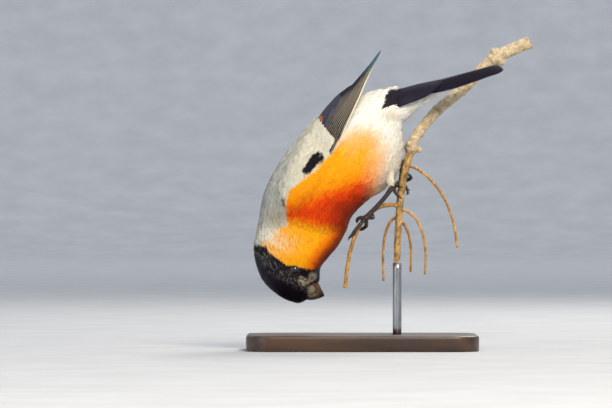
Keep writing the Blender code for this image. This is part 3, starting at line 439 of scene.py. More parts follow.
def markingTone(points, scatter=0.0):
    # the plumage's colour at each point, from its place in the side view; scatter frays the borders
    x, z = points[..., 0], points[..., 2]
    fray = ripple(points, 4.0, 1.0) * 0.5 + scatter
    fine = ripple(points * np.array([1.0, 1.0, 0.45]), 1.7, 5.0)
    m = markings
    # painted shade: the white turns beige on the lower belly, which faces away from the light, with a
    # little beige elsewhere in soft random patches
    tone = mix(m["white"], m["belly"], np.clip(smooth(100, 84, z) * smooth(-2, 12, x) + 0.25 * fine, 0, 1))
    # the mantle's grey, with painted bluish shade towards the back's outline
    paintedBackShade = smooth(-34, -46, x - (z - 60) * 0.30)
    grey = mix(m["mantle"], m["mantlePaintedShade"], 0.6 * paintedBackShade)
    grey = grey * (1 + 0.05 * fine + 0.04 * ripple(points, 6.0, 4.0))[..., None]
    # painted shade: the grey turns brownish by the orange border, under the bulge of the flank's plumage
    grey = mix(grey, m["mantlePaintedWarmShade"], 0.55 * np.exp(-((x + 38.5) / 5.5) ** 2 - ((z - 58.5) / 5.0) ** 2))
    tone = mix(tone, grey, smooth(-2.2, -0.8, areaDepth(x, z, m["mantleArea"]) + fray * 0.6))
    # the pale ends of the wing's coverts, and the black that shows under them
    along, across = wingCoords(x, z)
    onWing = smooth(-1.0, 0.6, across - edgeAt(wing["backEdge"], along)) * smooth(-1.2, 0.4, 3.4 - across)
    tone = mix(tone, m["bar"], 0.85 * onWing * smooth(-9.5, -5.0, along - coverEnd(across) + fray))
    tone = mix(tone, m["wingBlack"], smooth(-0.35, 0.35, areaDepth(x, z, m["patchArea"]) + fray * 0.3))
    tone = mix(tone, m["streak"], 0.8 * smooth(0.9, 0.4, lineNear(x, z,
        [(-35.3, 67.7), (-35.2, 64.8)]) + fray * 0.3))
    tone = mix(tone, m["streak"], 0.6 * smooth(0.45, 0.2, lineNear(x, z,
        [(-11.9, 93.6), (-14.8, 87.6)]) + fray * 0.2))
    # orange: yellow on the flank, redder and darker square to a slanting line, partly the breast's own red
    # and partly painted shade, and darker still along the belly's outline as painted shade
    (turnX, turnZ), (wayX, wayZ) = m["orangeTurn"]
    run = (x - turnX) * wayX + (z - turnZ) * wayZ + 1.6 * ripple(points, 6.0, 2.0) + 1.0 * fine
    # painted shade: near the belly's outline the orange is kept at its deepest
    edge = lineNear(x, z, m["bellyLine"]) + fray
    run = np.maximum(run, np.interp(edge, [3.0, 12.0], [-7.0, -0.5]))
    orange = np.stack([np.interp(run, [-7.0, -3.0, 1.0, 6.5, 12.0],
        [tone[k] for tone in m["orange"][::-1]]) for k in range(3)], -1)
    onCheek = smooth(60.0, 53.5, z + (x + 24) * 0.22 + 1.2 * fray)
    # painted shade: towards the belly's outline the cheek turns red, then red-brown, on the throat's shaded
    # edge
    cheek = mix(m["cheek"], m["orange"][2], 0.6 * smooth(9.0, 4.0, edge))
    cheek = mix(cheek, m["orange"][4], 0.9 * smooth(5.5, 1.5, edge))
    orange = mix(orange, cheek, 0.95 * onCheek)
    # painted shade in the crease between the cheek and the breast
    orange = mix(orange, m["orange"][4], 0.10 * creaseAt(x, z))
    orange = orange * (1 + 0.07 * fine)[..., None]
    depth = areaDepth(x, z, m["orangeArea"]) + fray
    pale = smooth(-9, 3, x * 0.9 + (z - 84) * 0.45)
    reach = 0.7 + 4.5 * pale
    orange = mix(orange, m["peach"], np.clip(pale * (smooth(13.0, 1.0, depth) + 0.30 * fine), 0, 0.95))
    tone = mix(tone, orange, smooth(-0.55 * reach, reach, depth + fine * (0.3 + 1.4 * pale)))
    # the black over the tail's root, and a painted beige shadow under it
    under = np.exp(-((x - 12.5) / 4.5) ** 2 - ((z - 104.5) / 2.6) ** 2)
    tone = mix(tone, m["undertailPaintedShadow"], np.clip(under * (0.55 + 0.3 * fine), 0, 1))
    tone = mix(tone, m["tailBlack"], smooth(-0.3, 0.3, areaDepth(x, z, m["covertArea"]) + fray * 0.3))
    # the pale collar, and the frosting that spreads from it over the cheek in streaks
    collar = np.exp(-((x + 43.6) / 5.0) ** 2 - ((z - 51.6) / 2.9) ** 2)
    tone = mix(tone, m["collar"], np.clip(1.3 * collar + 0.25 * collar * fine, 0, 0.95))
    frost = np.exp(-((x + 37.5) / 6.8) ** 2 - ((z - 48.2) / 4.6) ** 2)
    tone = mix(tone, m["frost"], np.clip(frost * (0.48 + 0.8 * fine), 0, 0.85))
    # the cap and bib, grey-flecked along a band, and with a painted highlight of pale flecks by the bill
    fleckBand = smooth(4.0, 0.8, lineNear(x, z, m["fleckBandLine"])) * smooth(0.0, 0.7,
        0.5 * ripple(points, 2.7, 3.0) + 2.2 * scatter)
    cap = mix(m["cap"], m["capFleck"], 0.60 * fleckBand)
    paintedGlint = smooth(2.4, 0.9, lineNear(x, z, m["paintedGlintLine"])) * smooth(-0.35, 0.35,
        0.4 * ripple(points, 1.7, 2.0) + 2.4 * scatter)
    cap = mix(cap, m["paintedGlint"], 0.9 * paintedGlint)
    return mix(tone, cap, smooth(-0.3, 0.4, areaDepth(x, z, m["capArea"]) + fray * 0.25))


print("body and markings ready")


def plumageMaterial(name, roughness, sheen, sheenTint, specular):
    # barbs of feather: the mesh's own tone, a soft sheen and no shine on the soft coat
    material, tree, shader = newMaterial(name, Roughness=roughness, Sheen_Weight=sheen, Sheen_Roughness=0.4,
        Sheen_Tint=(*linear(sheenTint), 1.0), Specular_IOR_Level=specular)
    tone = addNode(tree, "ShaderNodeAttribute", attribute_name="tone")
    feed(tree, shader, {"Base Color": tone.outputs["Color"]})
    return material


softPlumage = plumageMaterial("soft body feathers", 0.75, 0.10, "#fff4e6", 0.15)
capPlumage = plumageMaterial("glossy cap feathers", 0.42, 0.06, "#7f62c4", 0.22)

skinGrid = {"undertailRings": 40, "thighRings": 26}
tail = {
    "root": np.array([14.55, 114.3]), "tip": np.array([63.6, 127.4]),
    "arch": ((0.0, 0.07), (22.0, 0.064), (44.0, 0.028)),
    # under the tail: (distance from the rump, top, bottom, half width)
    "under": [(0.0, -1.0, -11.2, 6.0), (7.0, -1.0, -9.6, 5.6), (15.0, -1.1, -7.4, 4.0),
        (20.0, -1.5, -5.3, 2.6), (26.0, -2.3, -3.0, 0.6)],
}
tail["length"] = float(np.linalg.norm(tail["tip"] - tail["root"]))
tail["along"] = (tail["tip"] - tail["root"]) / tail["length"]
tail["up"] = np.array([-tail["along"][1], tail["along"][0]])
legs = {"left": {"hip": (9.5, -6.2, 87.0), "heel": (13.4, -9.8, 73.2)},
    "right": {"hip": (6.0, 6.5, 90.0), "heel": (17.6, 11.6, 84.6)}, "thighRadii": (5.2, 1.9),}


def tailSpace(along, rise, out):
    # a place so far along the tail's line, above it and out from the middle plane
    return np.stack([tail["root"][0] + tail["along"][0] * along + tail["up"][0] * rise, out,
        tail["root"][1] + tail["along"][1] * along + tail["up"][1] * rise], -1)


def undertailPoint(share, angle, depth=0.0):
    # a soft wedge under the tail, from the rump to a point
    rows = splinePoints(tail["under"], share * (len(tail["under"]) - 1))
    middle, half = (rows[..., 1] + rows[..., 2]) / 2, (rows[..., 1] - rows[..., 2]) / 2 - depth
    height = middle + half * np.cos(angle)
    along = rows[..., 0] - 1.5 + 0.24 * -height * (1 - share) ** 2
    return tailSpace(along, height, np.maximum(rows[..., 3] - depth, 0.2) * -np.sin(angle))


def thighPoint(leg, share, angle, depth=0.0):
    # a feathered cone from the belly to the heel
    hip, heel = np.array(leg["hip"]), np.array(leg["heel"])
    line = unit(heel - hip)
    side = unit(np.cross(line, (0.0, 1.0, 0.0)))
    up = np.cross(line, side)
    radius = legs["thighRadii"][0] + (legs["thighRadii"][1] - legs["thighRadii"][0]) * share - depth
    radius = radius * np.sqrt(np.clip((1.02 - share) / 0.12, 0, 1) * np.clip((share + 0.01) / 0.12, 0, 1))
    return (hip + (heel - hip) * share[..., None] + radius[...,
        None] * (np.cos(angle)[..., None] * side - np.sin(angle)[..., None] * up))


def gridOf(rings, sides):
    # the share along and the angle round, for each point of a closed grid
    share, angle = np.meshgrid(np.linspace(0, 1, rings), np.linspace(0, 2 * math.pi, sides, endpoint=False),
        indexing="ij")
    return share, angle


share, angle = gridOf(body["rings"], body["sides"])
bodySkin = skinPoint(share * lastStation, angle)
bodySkin[0], bodySkin[-1] = bodySkin[0].mean(0), bodySkin[-1].mean(0)
skinParts = [(bodySkin.reshape(-1, 3), gridFaces(body["rings"], body["sides"], True)[:, ::-1],
    np.stack([share * 0.8, angle / (2 * math.pi)], -1).reshape(-1, 2))]
share, angle = gridOf(skinGrid["undertailRings"], 48)
skinParts.append((undertailPoint(share, angle, 0.9).reshape(-1, 3),
    gridFaces(skinGrid["undertailRings"], 48, True), np.stack([0.82 + share * 0.08, angle / (2 * math.pi)],
    -1).reshape(-1, 2)))
for number, key in enumerate(("left", "right")):
    share, angle = gridOf(skinGrid["thighRings"], 36)
    skinParts.append((thighPoint(legs[key], share, angle, 0.8).reshape(-1, 3),
        gridFaces(skinGrid["thighRings"], 36, True), np.stack([0.91 + number * 0.045 + share * 0.04,
        angle / (2 * math.pi)], -1).reshape(-1, 2)))
skinPoints, skinFaces, skinUv = joined(skinParts)
skinTone = markingTone(skinPoints)
# painted shade: the skin under the plumes takes the markings' colours made 12% darker
addPiece("skin", skinPoints, skinFaces, softPlumage, closed=False,
    tone=skinTone * 0.88, uv=skinUv, replaces=("head", "neck", "torso", "rump", "undertail", "thigh_left",
    "thigh_right"))
print("skin", len(skinFaces), "faces")


# One plume is a fan of barbs off a short shaft. Each barb starts on the shaft, bends outwards and ends
# in a point.
coat = {
    "bodyPlumes": 30000, "capPlumes": 15000, "cheekPlumes": 6500, "undertailPlumes": 1500,
    "thighPlumes": 700,
    "bodyBarbs": 7, "headBarbs": 5,
    "patch": 0.003,  # the size of a plume's patch in the OFBake map
    "bodyMap": (0.0, 0.8, 0.0, 11.0),  # the body's share of that map, and its stations
    "swirl": 9.0,  # degrees by which neighbours sway together
    "roll": 0.15, "toneSpread": 0.06, "borderScatter": 0.22,  # how unlike each other the plumes are
}


def barbTable(count):
    # for each barb: where it leaves the shaft, and where its tip ends along and across, as shares of
    # length and width
    half = (count - 1) // 2
    number = np.arange(-half, half + 1)
    out = np.abs(number) / half
    start = 0.52 * (1 - out) ** 0.9 + 0.02
    endAlong = 1.0 - 0.42 * out ** 1.7
    endAcross = np.sign(number) * (0.12 + 0.88 * out) * (out > 0)
    return start, endAlong, endAcross


def plumes(roots, normal, lie, length, width, lift, curl, barbs, tone, uvRoots, roll):
    # the points and faces of all plumes at once; heights follow length * (lift * t - curl * t squared)
    side = unit(np.cross(normal, lie))
    start, endAlong, endAcross = barbTable(barbs)
    count = len(roots)
    spread = 1 + 0.25 * rng.standard_normal((count, barbs))
    middleAlong = start + (endAlong - start) * 0.55
    middleAcross = endAcross * 0.62
    thick = 0.30 * width / (barbs - 1) * 2
    rows = []
    for along, across, wide, sign in ((start, 0 * endAcross, 0.55, -1), (start, 0 * endAcross, 0.55, 1),
            (middleAlong, middleAcross, 1.25, -1), (middleAlong, middleAcross, 1.25, 1),
            (endAlong, endAcross, 0.0, 0)):
        t = along[None, :] * (1 + (0.06 * rng.standard_normal((count, barbs)) if wide == 0 else 0))
        u = across[None, :] * (spread if wide == 0 else 1) * width[:, None] / 2 + sign * wide * thick[:,
            None]
        height = length[:, None] * (lift[:, None] * t - curl[:, None] * t * t) + roll[:,
            None] * u - 0.25 * u * u / width[:, None]
        rows.append(roots[:, None] + lie[:, None] * (t * length[:, None])[..., None] + side[:,
            None] * u[..., None] + normal[:, None] * height[..., None])
    points = np.stack(rows, axis=2)  # plume, barb, point, xyz
    base = (np.arange(count * barbs) * 5)[:, None, None]
    faces = (base + np.array([[0, 3, 1], [0, 2, 3], [2, 4, 3]])[None]).reshape(-1, 3)
    # painted shade and light: each barb is darker at its root, where the plumes overlap, and a little
    # lighter at its tip
    shade = np.array([0.80, 0.80, 0.95, 0.95, 1.03])[None, None,
        :] * (1 + 0.05 * rng.standard_normal((count, barbs, 1)))
    tones = np.clip(tone[:, None, None] * shade[..., None], 0, 1)
    place = np.stack([np.broadcast_to(np.array([0, 0, 0.55, 0.55, 1.0]), (count, barbs, 5)),
        np.broadcast_to((np.arange(barbs) / (barbs - 1))[None, :, None], (count, barbs, 5))], -1)
    uv = np.clip(uvRoots[:, None, None] + (place - 0.5) * coat["patch"], 0, 1)
    return points.reshape(-1, 3), faces, tones.reshape(-1, 3), uv.reshape(-1, 2)


def spreadRoots(surface, stationRange, count, density, rings=240, sides=180):
    # roots spread evenly by area times density: equal steps through the summed cells of a grid, each
    # jittered
    station = np.linspace(*stationRange, rings + 1)
    angle = np.linspace(0, 2 * math.pi, sides + 1)
    s, a = np.meshgrid((station[1:] + station[:-1]) / 2, (angle[1:] + angle[:-1]) / 2, indexing="ij")
    step, turn = station[1] - station[0], angle[1] - angle[0]
    ahead = surface(s + step / 2, a) - surface(s - step / 2, a)
    around = surface(s, a + turn / 2) - surface(s, a - turn / 2)
    weight = np.linalg.norm(np.cross(ahead, around), axis=-1) * density(s, a, surface(s, a))
    total = np.cumsum(weight.ravel())
    cell = np.searchsorted(total, (np.arange(count) + rng.random(count)) / count * total[-1])
    cell = np.minimum(cell, rings * sides - 1)
    return (s.ravel()[cell] + (rng.random(count) - 0.5) * step,
        a.ravel()[cell] + (rng.random(count) - 0.5) * turn)


def turned(lie, normal, degrees):
    # the lie swung about the normal
    side = np.cross(normal, lie)
    swing = np.radians(degrees)[:, None]
    return unit(lie * np.cos(swing) + side * np.sin(swing))


eye = {"pupil": 1.1, "iris": 1.95, "lidRadius": 0.27, "lidReach": 1.92, "beads": 44,
    "pupilTone": linear("#030203"), "irisTone": linear("#220a12"), "rimTone": linear("#0b0708"),}
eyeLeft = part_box("eye_left")
eyeCentre = np.array((eyeLeft[0] + eyeLeft[1]) / 2) * 1000
eyeRadius = float((eyeLeft[1] - eyeLeft[0])[0]) * 500


def eyeDistance(points):
    # how far each point lies from the nearer eye's centre
    return np.minimum(np.linalg.norm(points - eyeCentre, axis=-1),
        np.linalg.norm(points - eyeCentre * np.array([1, -1, 1]), axis=-1))


def coatOn(name, surface, stationRange, count, density, barbs, sizes, uvFrame, material=softPlumage):
    # a coat piece: roots on the surface, plumes along its lie, coloured by the shared markings
    station, turn = spreadRoots(surface, stationRange, count, density)
    roots = surface(station, turn)
    normal, lie = outward(surface, station, turn)
    normal = np.where((np.sum(normal * (roots - surface(station, turn + math.pi)), axis=1) < 0)[:, None],
        -normal, normal)
    length, width, lift, curl, swing = sizes(station, turn, roots)
    lie = turned(lie, normal, swing * rng.standard_normal(len(roots)) + coat["swirl"] * ripple(roots, 5.0,
        7.0))
    near = eyeDistance(roots) - eye["lidReach"]
    length = np.minimum(length, np.maximum(0.45, 1.2 * near))
    tone = markingTone(roots + lie * (length * 0.6)[:, None],
        coat["borderScatter"] * rng.standard_normal(len(roots)))
    tone = tone * (1 + coat["toneSpread"] * rng.standard_normal(len(roots)))[:, None]
    u0, u1, s0, s1 = uvFrame
    uvRoots = np.stack([u0 + (u1 - u0) * (station - s0) / (s1 - s0),
        np.mod(turn, 2 * math.pi) / (2 * math.pi)], -1)
    points, faces, tones, uv = plumes(roots, normal, lie, length, width, lift, curl, barbs, tone, uvRoots,
        coat["roll"] * rng.standard_normal(len(roots)))
    addPiece(name, points, faces, material, tone=tones, uv=uv, closed=False)
    print(name, len(faces), "faces")


def underWing(s, a, p):
    # few plumes where the wings' flight feathers lie over the body
    along, across = wingCoords(p[..., 0], p[..., 2])
    hidden = (smooth(0, 3, along - coverEnd(across)) * smooth(0.5, 2.0,
        across - edgeAt(wing["backEdge"], along)) * smooth(0.5, 2.0,
        edgeAt(wing["leadingEdge"], along) - across))
    return 1 - 0.75 * hidden


def bodySizes(s, a, p):
    # each plume's length, width, lift, curl and swing, longer towards the rump
    n = len(s)
    grown = np.interp(s, [3.5, 5, 7, 9, 11], [2.4, 3.0, 3.8, 4.2, 4.4])
    along, across = wingCoords(p[:, 0], p[:, 2])
    # short near the wing's bare feathers, so that the bar ends cleanly
    gap = np.clip(coverEnd(across) - along, 0, 99)
    atBar = smooth(-2, 0, across - edgeAt(wing["backEdge"], along)) * smooth(-2, 0,
        edgeAt(wing["leadingEdge"], along) - across)
    length = grown * (0.85 + 0.3 * rng.random(n)) * (1 - 0.25 * atBar * smooth(4, 0, gap))
    width = length * 0.33
    return length, width, 0.17 + 0.11 * rng.random(n), np.full(n, 0.10), np.full(n, 6.0)


def headSizes(s, a, p):
    # the same for the head, shortest by the bill
    n = len(s)
    grown = np.interp(s, [0, 0.6, 1.5, 3, 4], [0.8, 1.1, 1.6, 2.3, 2.8])
    length = grown * (0.85 + 0.3 * rng.random(n))
    return length, length * 0.27, 0.20 + 0.09 * rng.random(n), np.full(n, 0.10), np.full(n, 6.0)


def headDensity(s, a, p):
    # thicker towards the bill, none on the eye or on the bare base of the bill
    bare = smooth(-0.5, -0.1, areaDepth(p[..., 0], p[..., 2], bareBillBase))
    return (eyeDistance(p) > eyeRadius + 0.15) * np.interp(s, [0, 1.5, 4], [2.2, 1.5, 1.0]) * (1 - bare)


cuts = (3.6, 5.2, 6.4, 7.6, 8.8, 11.0)
shares = (0.12, 0.22, 0.26, 0.22, 0.18)
for number, (low, high, part) in enumerate(zip(cuts[:-1], cuts[1:], shares), 1):
    coatOn(f"coat_body_{number}", skinPoint, (low, high), int(coat["bodyPlumes"] * part), underWing,
        coat["bodyBarbs"], bodySizes, coat["bodyMap"])


def capDensity(s, a, p):
    return headDensity(s, a, p) * (areaDepth(p[..., 0], p[..., 2], markings["capArea"]) > -0.3)


def cheekDensity(s, a, p):
    return headDensity(s, a, p) * (areaDepth(p[..., 0], p[..., 2], markings["capArea"]) <= -0.3)


for number, (low, high) in enumerate(((0.08, 1.75), (1.75, 3.65)), 1):
    coatOn(f"coat_cap_{number}", skinPoint, (low, high), coat["capPlumes"] // 2, capDensity,
        coat["headBarbs"], headSizes, coat["bodyMap"], capPlumage)
coatOn("coat_cheek", skinPoint, (0.3, 3.65), coat["cheekPlumes"], cheekDensity, coat["headBarbs"],
    headSizes, coat["bodyMap"])


def evenly(s, a, p):
    # the same density everywhere
    return np.ones(np.shape(s))


def undertailSizes(s, a, p):
    n = len(s)
    length = np.interp(s, [0, 1], [4.6, 5.4]) * (0.85 + 0.3 * rng.random(n))
    return length, length * 0.36, 0.16 + 0.05 * rng.random(n), np.full(n, 0.10), np.full(n, 5.0)


def thighSizes(s, a, p):
    n = len(s)
    length = np.interp(s, [0, 1], [3.4, 1.6]) * (0.85 + 0.3 * rng.random(n))
    return length, length * 0.40, 0.22 + 0.06 * rng.random(n), np.full(n, 0.14), np.full(n, 7.0)


coatOn("coat_undertail", lambda s, a: undertailPoint(s, a, 0.9), (0.02, 0.92), coat["undertailPlumes"],
    evenly, 9, undertailSizes, (0.82, 0.90, 0.0, 1.0))
for number, key in enumerate(("left", "right")):
    coatOn("coat_thigh_" + key, lambda s, a, key=key: thighPoint(legs[key], s, a, 0.8), (0.3, 0.96),
        coat["thighPlumes"] // 2, evenly, 9, thighSizes,
        (0.91 + number * 0.045, 0.95 + number * 0.045, 0.0, 1.0))

# Bristles at the bill's base lie forwards over the nostrils.
station, turn = spreadRoots(skinPoint, (0.12, 0.75), 520, headDensity)
roots = skinPoint(station, turn)
normal, lie = outward(skinPoint, station, turn)
forward = unit(-lie + 0.35 * normal)
few = len(roots)
mapRoots = np.column_stack([0.8 * station / lastStation, turn / (2 * math.pi)])
points, faces, tone, uv = plumes(roots, normal, forward, 1.0 + 0.6 * rng.random(few), np.full(few, 0.26),
    np.full(few, 0.10), np.full(few, 0.22), 3, np.broadcast_to(markings["cap"], (few, 3)), mapRoots,
    np.zeros(few))
addPiece("coat_bristles", points, faces, capPlumage, tone=tone, uv=uv, closed=False)

# The last white feathers of the rump end in a point over the tail's root.
flap = {"count": 260, "stations": (10.1, 10.95), "spread": 0.95, "length": 5.2}
station = flap["stations"][0] + (flap["stations"][1] - flap["stations"][0]) * rng.random(flap["count"])
turn = flap["spread"] * np.clip(0.6 * rng.standard_normal(flap["count"]), -1.4, 1.4)
roots = skinPoint(station, turn)
normal, lie = outward(skinPoint, station, turn)
lie = unit(lie - np.column_stack([0 * turn, roots[:, 1] * 0.03, 0 * turn]))
few = len(roots)
tone = mix(markings["white"], markings["belly"], 0.3 * rng.random(few))
length = flap["length"] * (0.7 + 0.45 * rng.random(few)) * (1 - 0.35 * np.abs(turn))
mapRoots = np.column_stack([0.8 * station / lastStation, np.mod(turn / (2 * math.pi), 1)])
points, faces, tone, uv = plumes(roots, normal, lie, length, np.full(few, 1.6), np.full(few, 0.22),
    np.full(few, 0.12), 9, tone, mapRoots, np.zeros(few))
addPiece("coat_rump_flap", points, faces, softPlumage, tone=tone, uv=uv, closed=False)
print("coat ready")


# Quills of the wings and the tail: thin closed strips with a shaft and a fringe.
quill = {
    "columns": np.array([-1.0, -0.85, -0.55, -0.2, 0.1, 0.28, 0.36, 0.44, 0.66, 0.8, 0.88, 1.0]),
    "shaft": 0.36, "rings": 44, "thickness": 0.10,
    "barbSpacing": 0.45,  # coarser than real barbs, so that they show
    "barbSlant": 3.5,  # how far the barbs would run back along the feather over its whole width
    "mapScale": 0.01,  # FeatherLines units for each millimetre along
}


def quillMaterial(name, roughness, gloss, barbDepth):
    # flight-feather vane: the mesh's own tone, darkened along fine slanted barbs, and a tinted gloss
    # the barbs' wave is the sine of the run along the feather less the distance from its middle
    material, tree, shader = newMaterial(name, Roughness=roughness, Specular_Tint=(*linear(gloss), 1.0),
        Specular_IOR_Level=0.35)
    tone = addNode(tree, "ShaderNodeAttribute", attribute_name="tone")
    place = addNode(tree, "ShaderNodeUVMap", uv_map="FeatherLines")
    split = addNode(tree, "ShaderNodeSeparateXYZ", {0: place.outputs[0]})
    away = addNode(tree, "ShaderNodeMath", {0: split.outputs["Y"], 1: 0.5}, operation="SUBTRACT")
    size = addNode(tree, "ShaderNodeMath", {0: away.outputs[0]}, operation="ABSOLUTE")
    slant = addNode(tree, "ShaderNodeMath", {0: size.outputs[0],
        1: -quill["mapScale"] * quill["barbSlant"]}, operation="MULTIPLY")
    total = addNode(tree, "ShaderNodeMath", {0: split.outputs["X"], 1: slant.outputs[0]}, operation="ADD")
    turns = addNode(tree, "ShaderNodeMath", {0: total.outputs[0],
        1: 2 * math.pi / (quill["mapScale"] * quill["barbSpacing"])}, operation="MULTIPLY")
    wave = addNode(tree, "ShaderNodeMath", {0: turns.outputs[0]}, operation="SINE")
    shade = addNode(tree, "ShaderNodeMapRange", {0: wave.outputs[0], "From Min": -1.0, "From Max": 1.0,
        "To Min": 1 - barbDepth, "To Max": 1.0})
    colour = addNode(tree, "ShaderNodeMix", {0: 1.0, 6: tone.outputs["Color"], 7: shade.outputs[0]},
        data_type="RGBA", blend_type="MULTIPLY")
    bump = addNode(tree, "ShaderNodeBump", {"Strength": 0.25, "Distance": 0.00005,
        "Height": wave.outputs[0]})
    feed(tree, shader, {"Base Color": colour.outputs[2], "Normal": bump.outputs[0]})
    return material


wingVane = quillMaterial("wing feather vane", 0.45, "#dfe2f4", 0.18)
tailVane = quillMaterial("tail feather vane", 0.48, "#cfc2f4", 0.25)

# painted shine: the wing's thin tip is coloured blue-green
tipPaintedShine = linear("#35697a")  # the blue-green shine of the wing's thin tip


def quillStrips(place, rootAlong, rootAcross, tipAlong, tipAcross, halfWidth, level, pointed, camber, sink,
        tones):
    # all strips of one kind at once: straight middle lines, a width that grows from the root and closes
    # at the
    # tip, a shallow arch across, and a raised shaft; tones are (vane, fringe, fringe share, shaft)
    t = np.linspace(0, 1, quill["rings"])[None, :, None]
    v = quill["columns"][None, None, :]
    count = len(tipAlong)
    rootAlong, rootAcross, tipAlong, tipAcross, halfWidth, level = (np.broadcast_to(np.asarray(item, float),
        count)[:, None, None] for item in (rootAlong, rootAcross, tipAlong, tipAcross, halfWidth, level))
    run = np.clip((t - (1 - pointed)) / pointed, 0, 1)
    width = halfWidth * (0.55 + 0.45 * smooth(0, 0.3, t)) * np.sqrt(np.clip(1 - run ** 2.2, 0, 1))
    along = rootAlong + (tipAlong - rootAlong) * t + 0 * v
    sway = 0.08 * halfWidth * np.sin(math.pi * t)
    across = rootAcross + (tipAcross - rootAcross) * t ** 1.05 + sway + v * width
    high = level - camber * (v - 0.2) ** 2 * width + 0.03 * np.exp(-((v - quill["shaft"])
        / 0.08) ** 2) - sink(along)
    thick = quill["thickness"] * np.clip(np.minimum(t, 1 - t) * 30, 0, 1) * (1 - 0.7 * np.abs(v))
    # over the top, and back under it
    along, across, vv = (np.concatenate([item, item[..., ::-1]], 2) for item in (along, across, v))
    high = np.concatenate([high, (high - thick)[..., ::-1]], 2)
    points = place(along, across, high)
    rings, ring = high.shape[1:]
    faces = gridFaces(rings, ring, True)
    vane, fringe, share, shaft = tones
    vane, fringe = (np.broadcast_to(item, (count, 3))[:, None, None, :] for item in (vane, fringe))
    edge = smooth(1 - share * 1.4, 1 - share * 0.6, vv) * smooth(0.0, 0.12, 1 - t) * np.ones((count, 1, 1))
    stem = np.exp(-((vv - quill["shaft"]) / 0.07) ** 2) * np.ones((count, rings, 1))
    tone = mix(vane, fringe, edge * np.ones(high.shape))
    tone = mix(tone, shaft, 0.6 * stem)
    tone = tone * (1 + 0.10 * np.sin(along * 2.1 + across * 3.0) * np.sin(along * 0.9))[..., None]
    # painted shine: the quills turn blue-green towards the wing's tip
    tone = mix(tone, tipPaintedShine, 0.6 * smooth(68.0, 80.0, along))
    uv = np.stack([along * quill["mapScale"], (vv + 1) / 2 * np.ones(high.shape)], -1)
    return [(points[k].reshape(-1, 3), faces, tone[k].reshape(-1, 3),
        uv[k].reshape(-1, 2)) for k in range(count)]


flight = {
    "primaryTips": [(82.6, 0.35), (84.4, 0.15), (82.6, 0.1), (79.6, 0.1), (76.4, -0.1), (73.2, -0.5),
        (70.6, -0.8), (68.2, -1.2), (66.2, -1.5)],
    "secondaryTips": [(64.6, -1.9), (64.0, -2.3), (63.2, -2.7), (62.2, -3.1), (61.0, -3.6), (59.6, -4.1)],
    "tertialTips": [(57.5, -4.9), (53.0, -5.8), (45.4, -7.4)],
    # offset across of the first quill's middle line, so far along the wing, and the step to the next one
    "primaryLine": (2.45, 0.80), "secondaryLine": (-4.5, 0.50), "lineAt": 45.0,
    "coverts": 8, "primaryCoverts": 3,
    "vane": linear("#1d1815"), "innerVane": linear("#16151b"), "fringe": linear("#c0b297"),
    "innerFringe": linear("#6a6259"), "cream": linear("#e8dec4"), "slate": linear("#3b3c47"),
    "shaft": linear("#141216"), "red": linear("#d06633"),
}


def sinkRoots(along):
    # the quills' roots dip under the coverts
    return 1.7 * (1 - smooth(38.0, 48.0, along))


def wingParts(side):
    def place(along, across, high):
        return wingPlace(along, across + edgeAt(wing["sag"], along), high, side)

    def coverPlace(along, across, high):
        return wingPlace(along, across, high, side)

    def rootsFor(tips, line, n, start):
        # root offsets that put each middle line where flight[line] says
        first, step = flight[line]
        part = (flight["lineAt"] - start) / (tips[:, 0] - start)
        return (first - step * n - part * tips[:, 1]) / (1 - part)

    tips = np.array(flight["primaryTips"])
    n = np.arange(len(tips))
    vane = mix(flight["vane"], flight["innerVane"], n / 11)
    fringe = mix(flight["fringe"], flight["innerFringe"], n / 12)
    fringe[0] = flight["cream"]
    parts = quillStrips(place, 30.0, rootsFor(tips, "primaryLine", n, 30.0), tips[:, 0], tips[:, 1],
        np.interp(n, [0, 2, 8], [1.0, 0.95, 1.5]), 0.10 + 0.10 * n, 0.45, 0.04, sinkRoots,
        (vane, fringe, np.array([0.55] + [0.14] * 8)[:, None, None], flight["shaft"]))
    tips = np.array(flight["secondaryTips"])
    n = np.arange(len(tips))
    parts += quillStrips(place, 28.0, rootsFor(tips, "secondaryLine", n, 28.0), tips[:, 0], tips[:, 1], 1.6,
        1.00 + 0.08 * n, 0.28, 0.04, sinkRoots, (flight["innerVane"], flight["innerFringe"], 0.16,
        flight["shaft"]))
    tips = np.array(flight["tertialTips"])
    vane = np.tile(flight["slate"], (3, 1))
    vane[2] = mix(vane[2], flight["red"], 0.7)
    parts += quillStrips(place, [30.0, 31.0, 32.0], [-6.6, -7.1, -7.6], tips[:, 0], tips[:, 1],
        [1.9, 1.9, 1.1], [1.50, 1.62, 1.70], 0.30, 0.05, sinkRoots,
        (vane, flight["innerFringe"], 0.07, flight["shaft"]))
    # greater coverts: dark at the hidden base, pale at the ends, which make the wing's bar
    n = np.arange(flight["coverts"])
    across = 1.9 - 1.36 * n
    ends = coverEnd(across) + 0.5
    covers = quillStrips(coverPlace, ends - 13.0, across - 0.3, ends, across, 1.25, 1.25 + 0.04 * n, 0.35,
        0.05, lambda along: 1.6 * (1 - smooth(27.0, 38.0, along)),
        (markings["bar"], markings["white"], 0.1, markings["mantle"]))
    n = np.arange(flight["primaryCoverts"])
    covers += quillStrips(coverPlace, 27.0, 3.3 - 0.2 * n, 42.0 - 1.5 * n, 3.3 - 0.25 * n, 0.42,
        1.0 + 0.08 * n, 0.4, 0.05, lambda along: 1.2 * (1 - smooth(29.0, 36.0, along)),
        (flight["vane"] * 1.5, flight["fringe"], 0.16, flight["shaft"]))
    return parts, covers


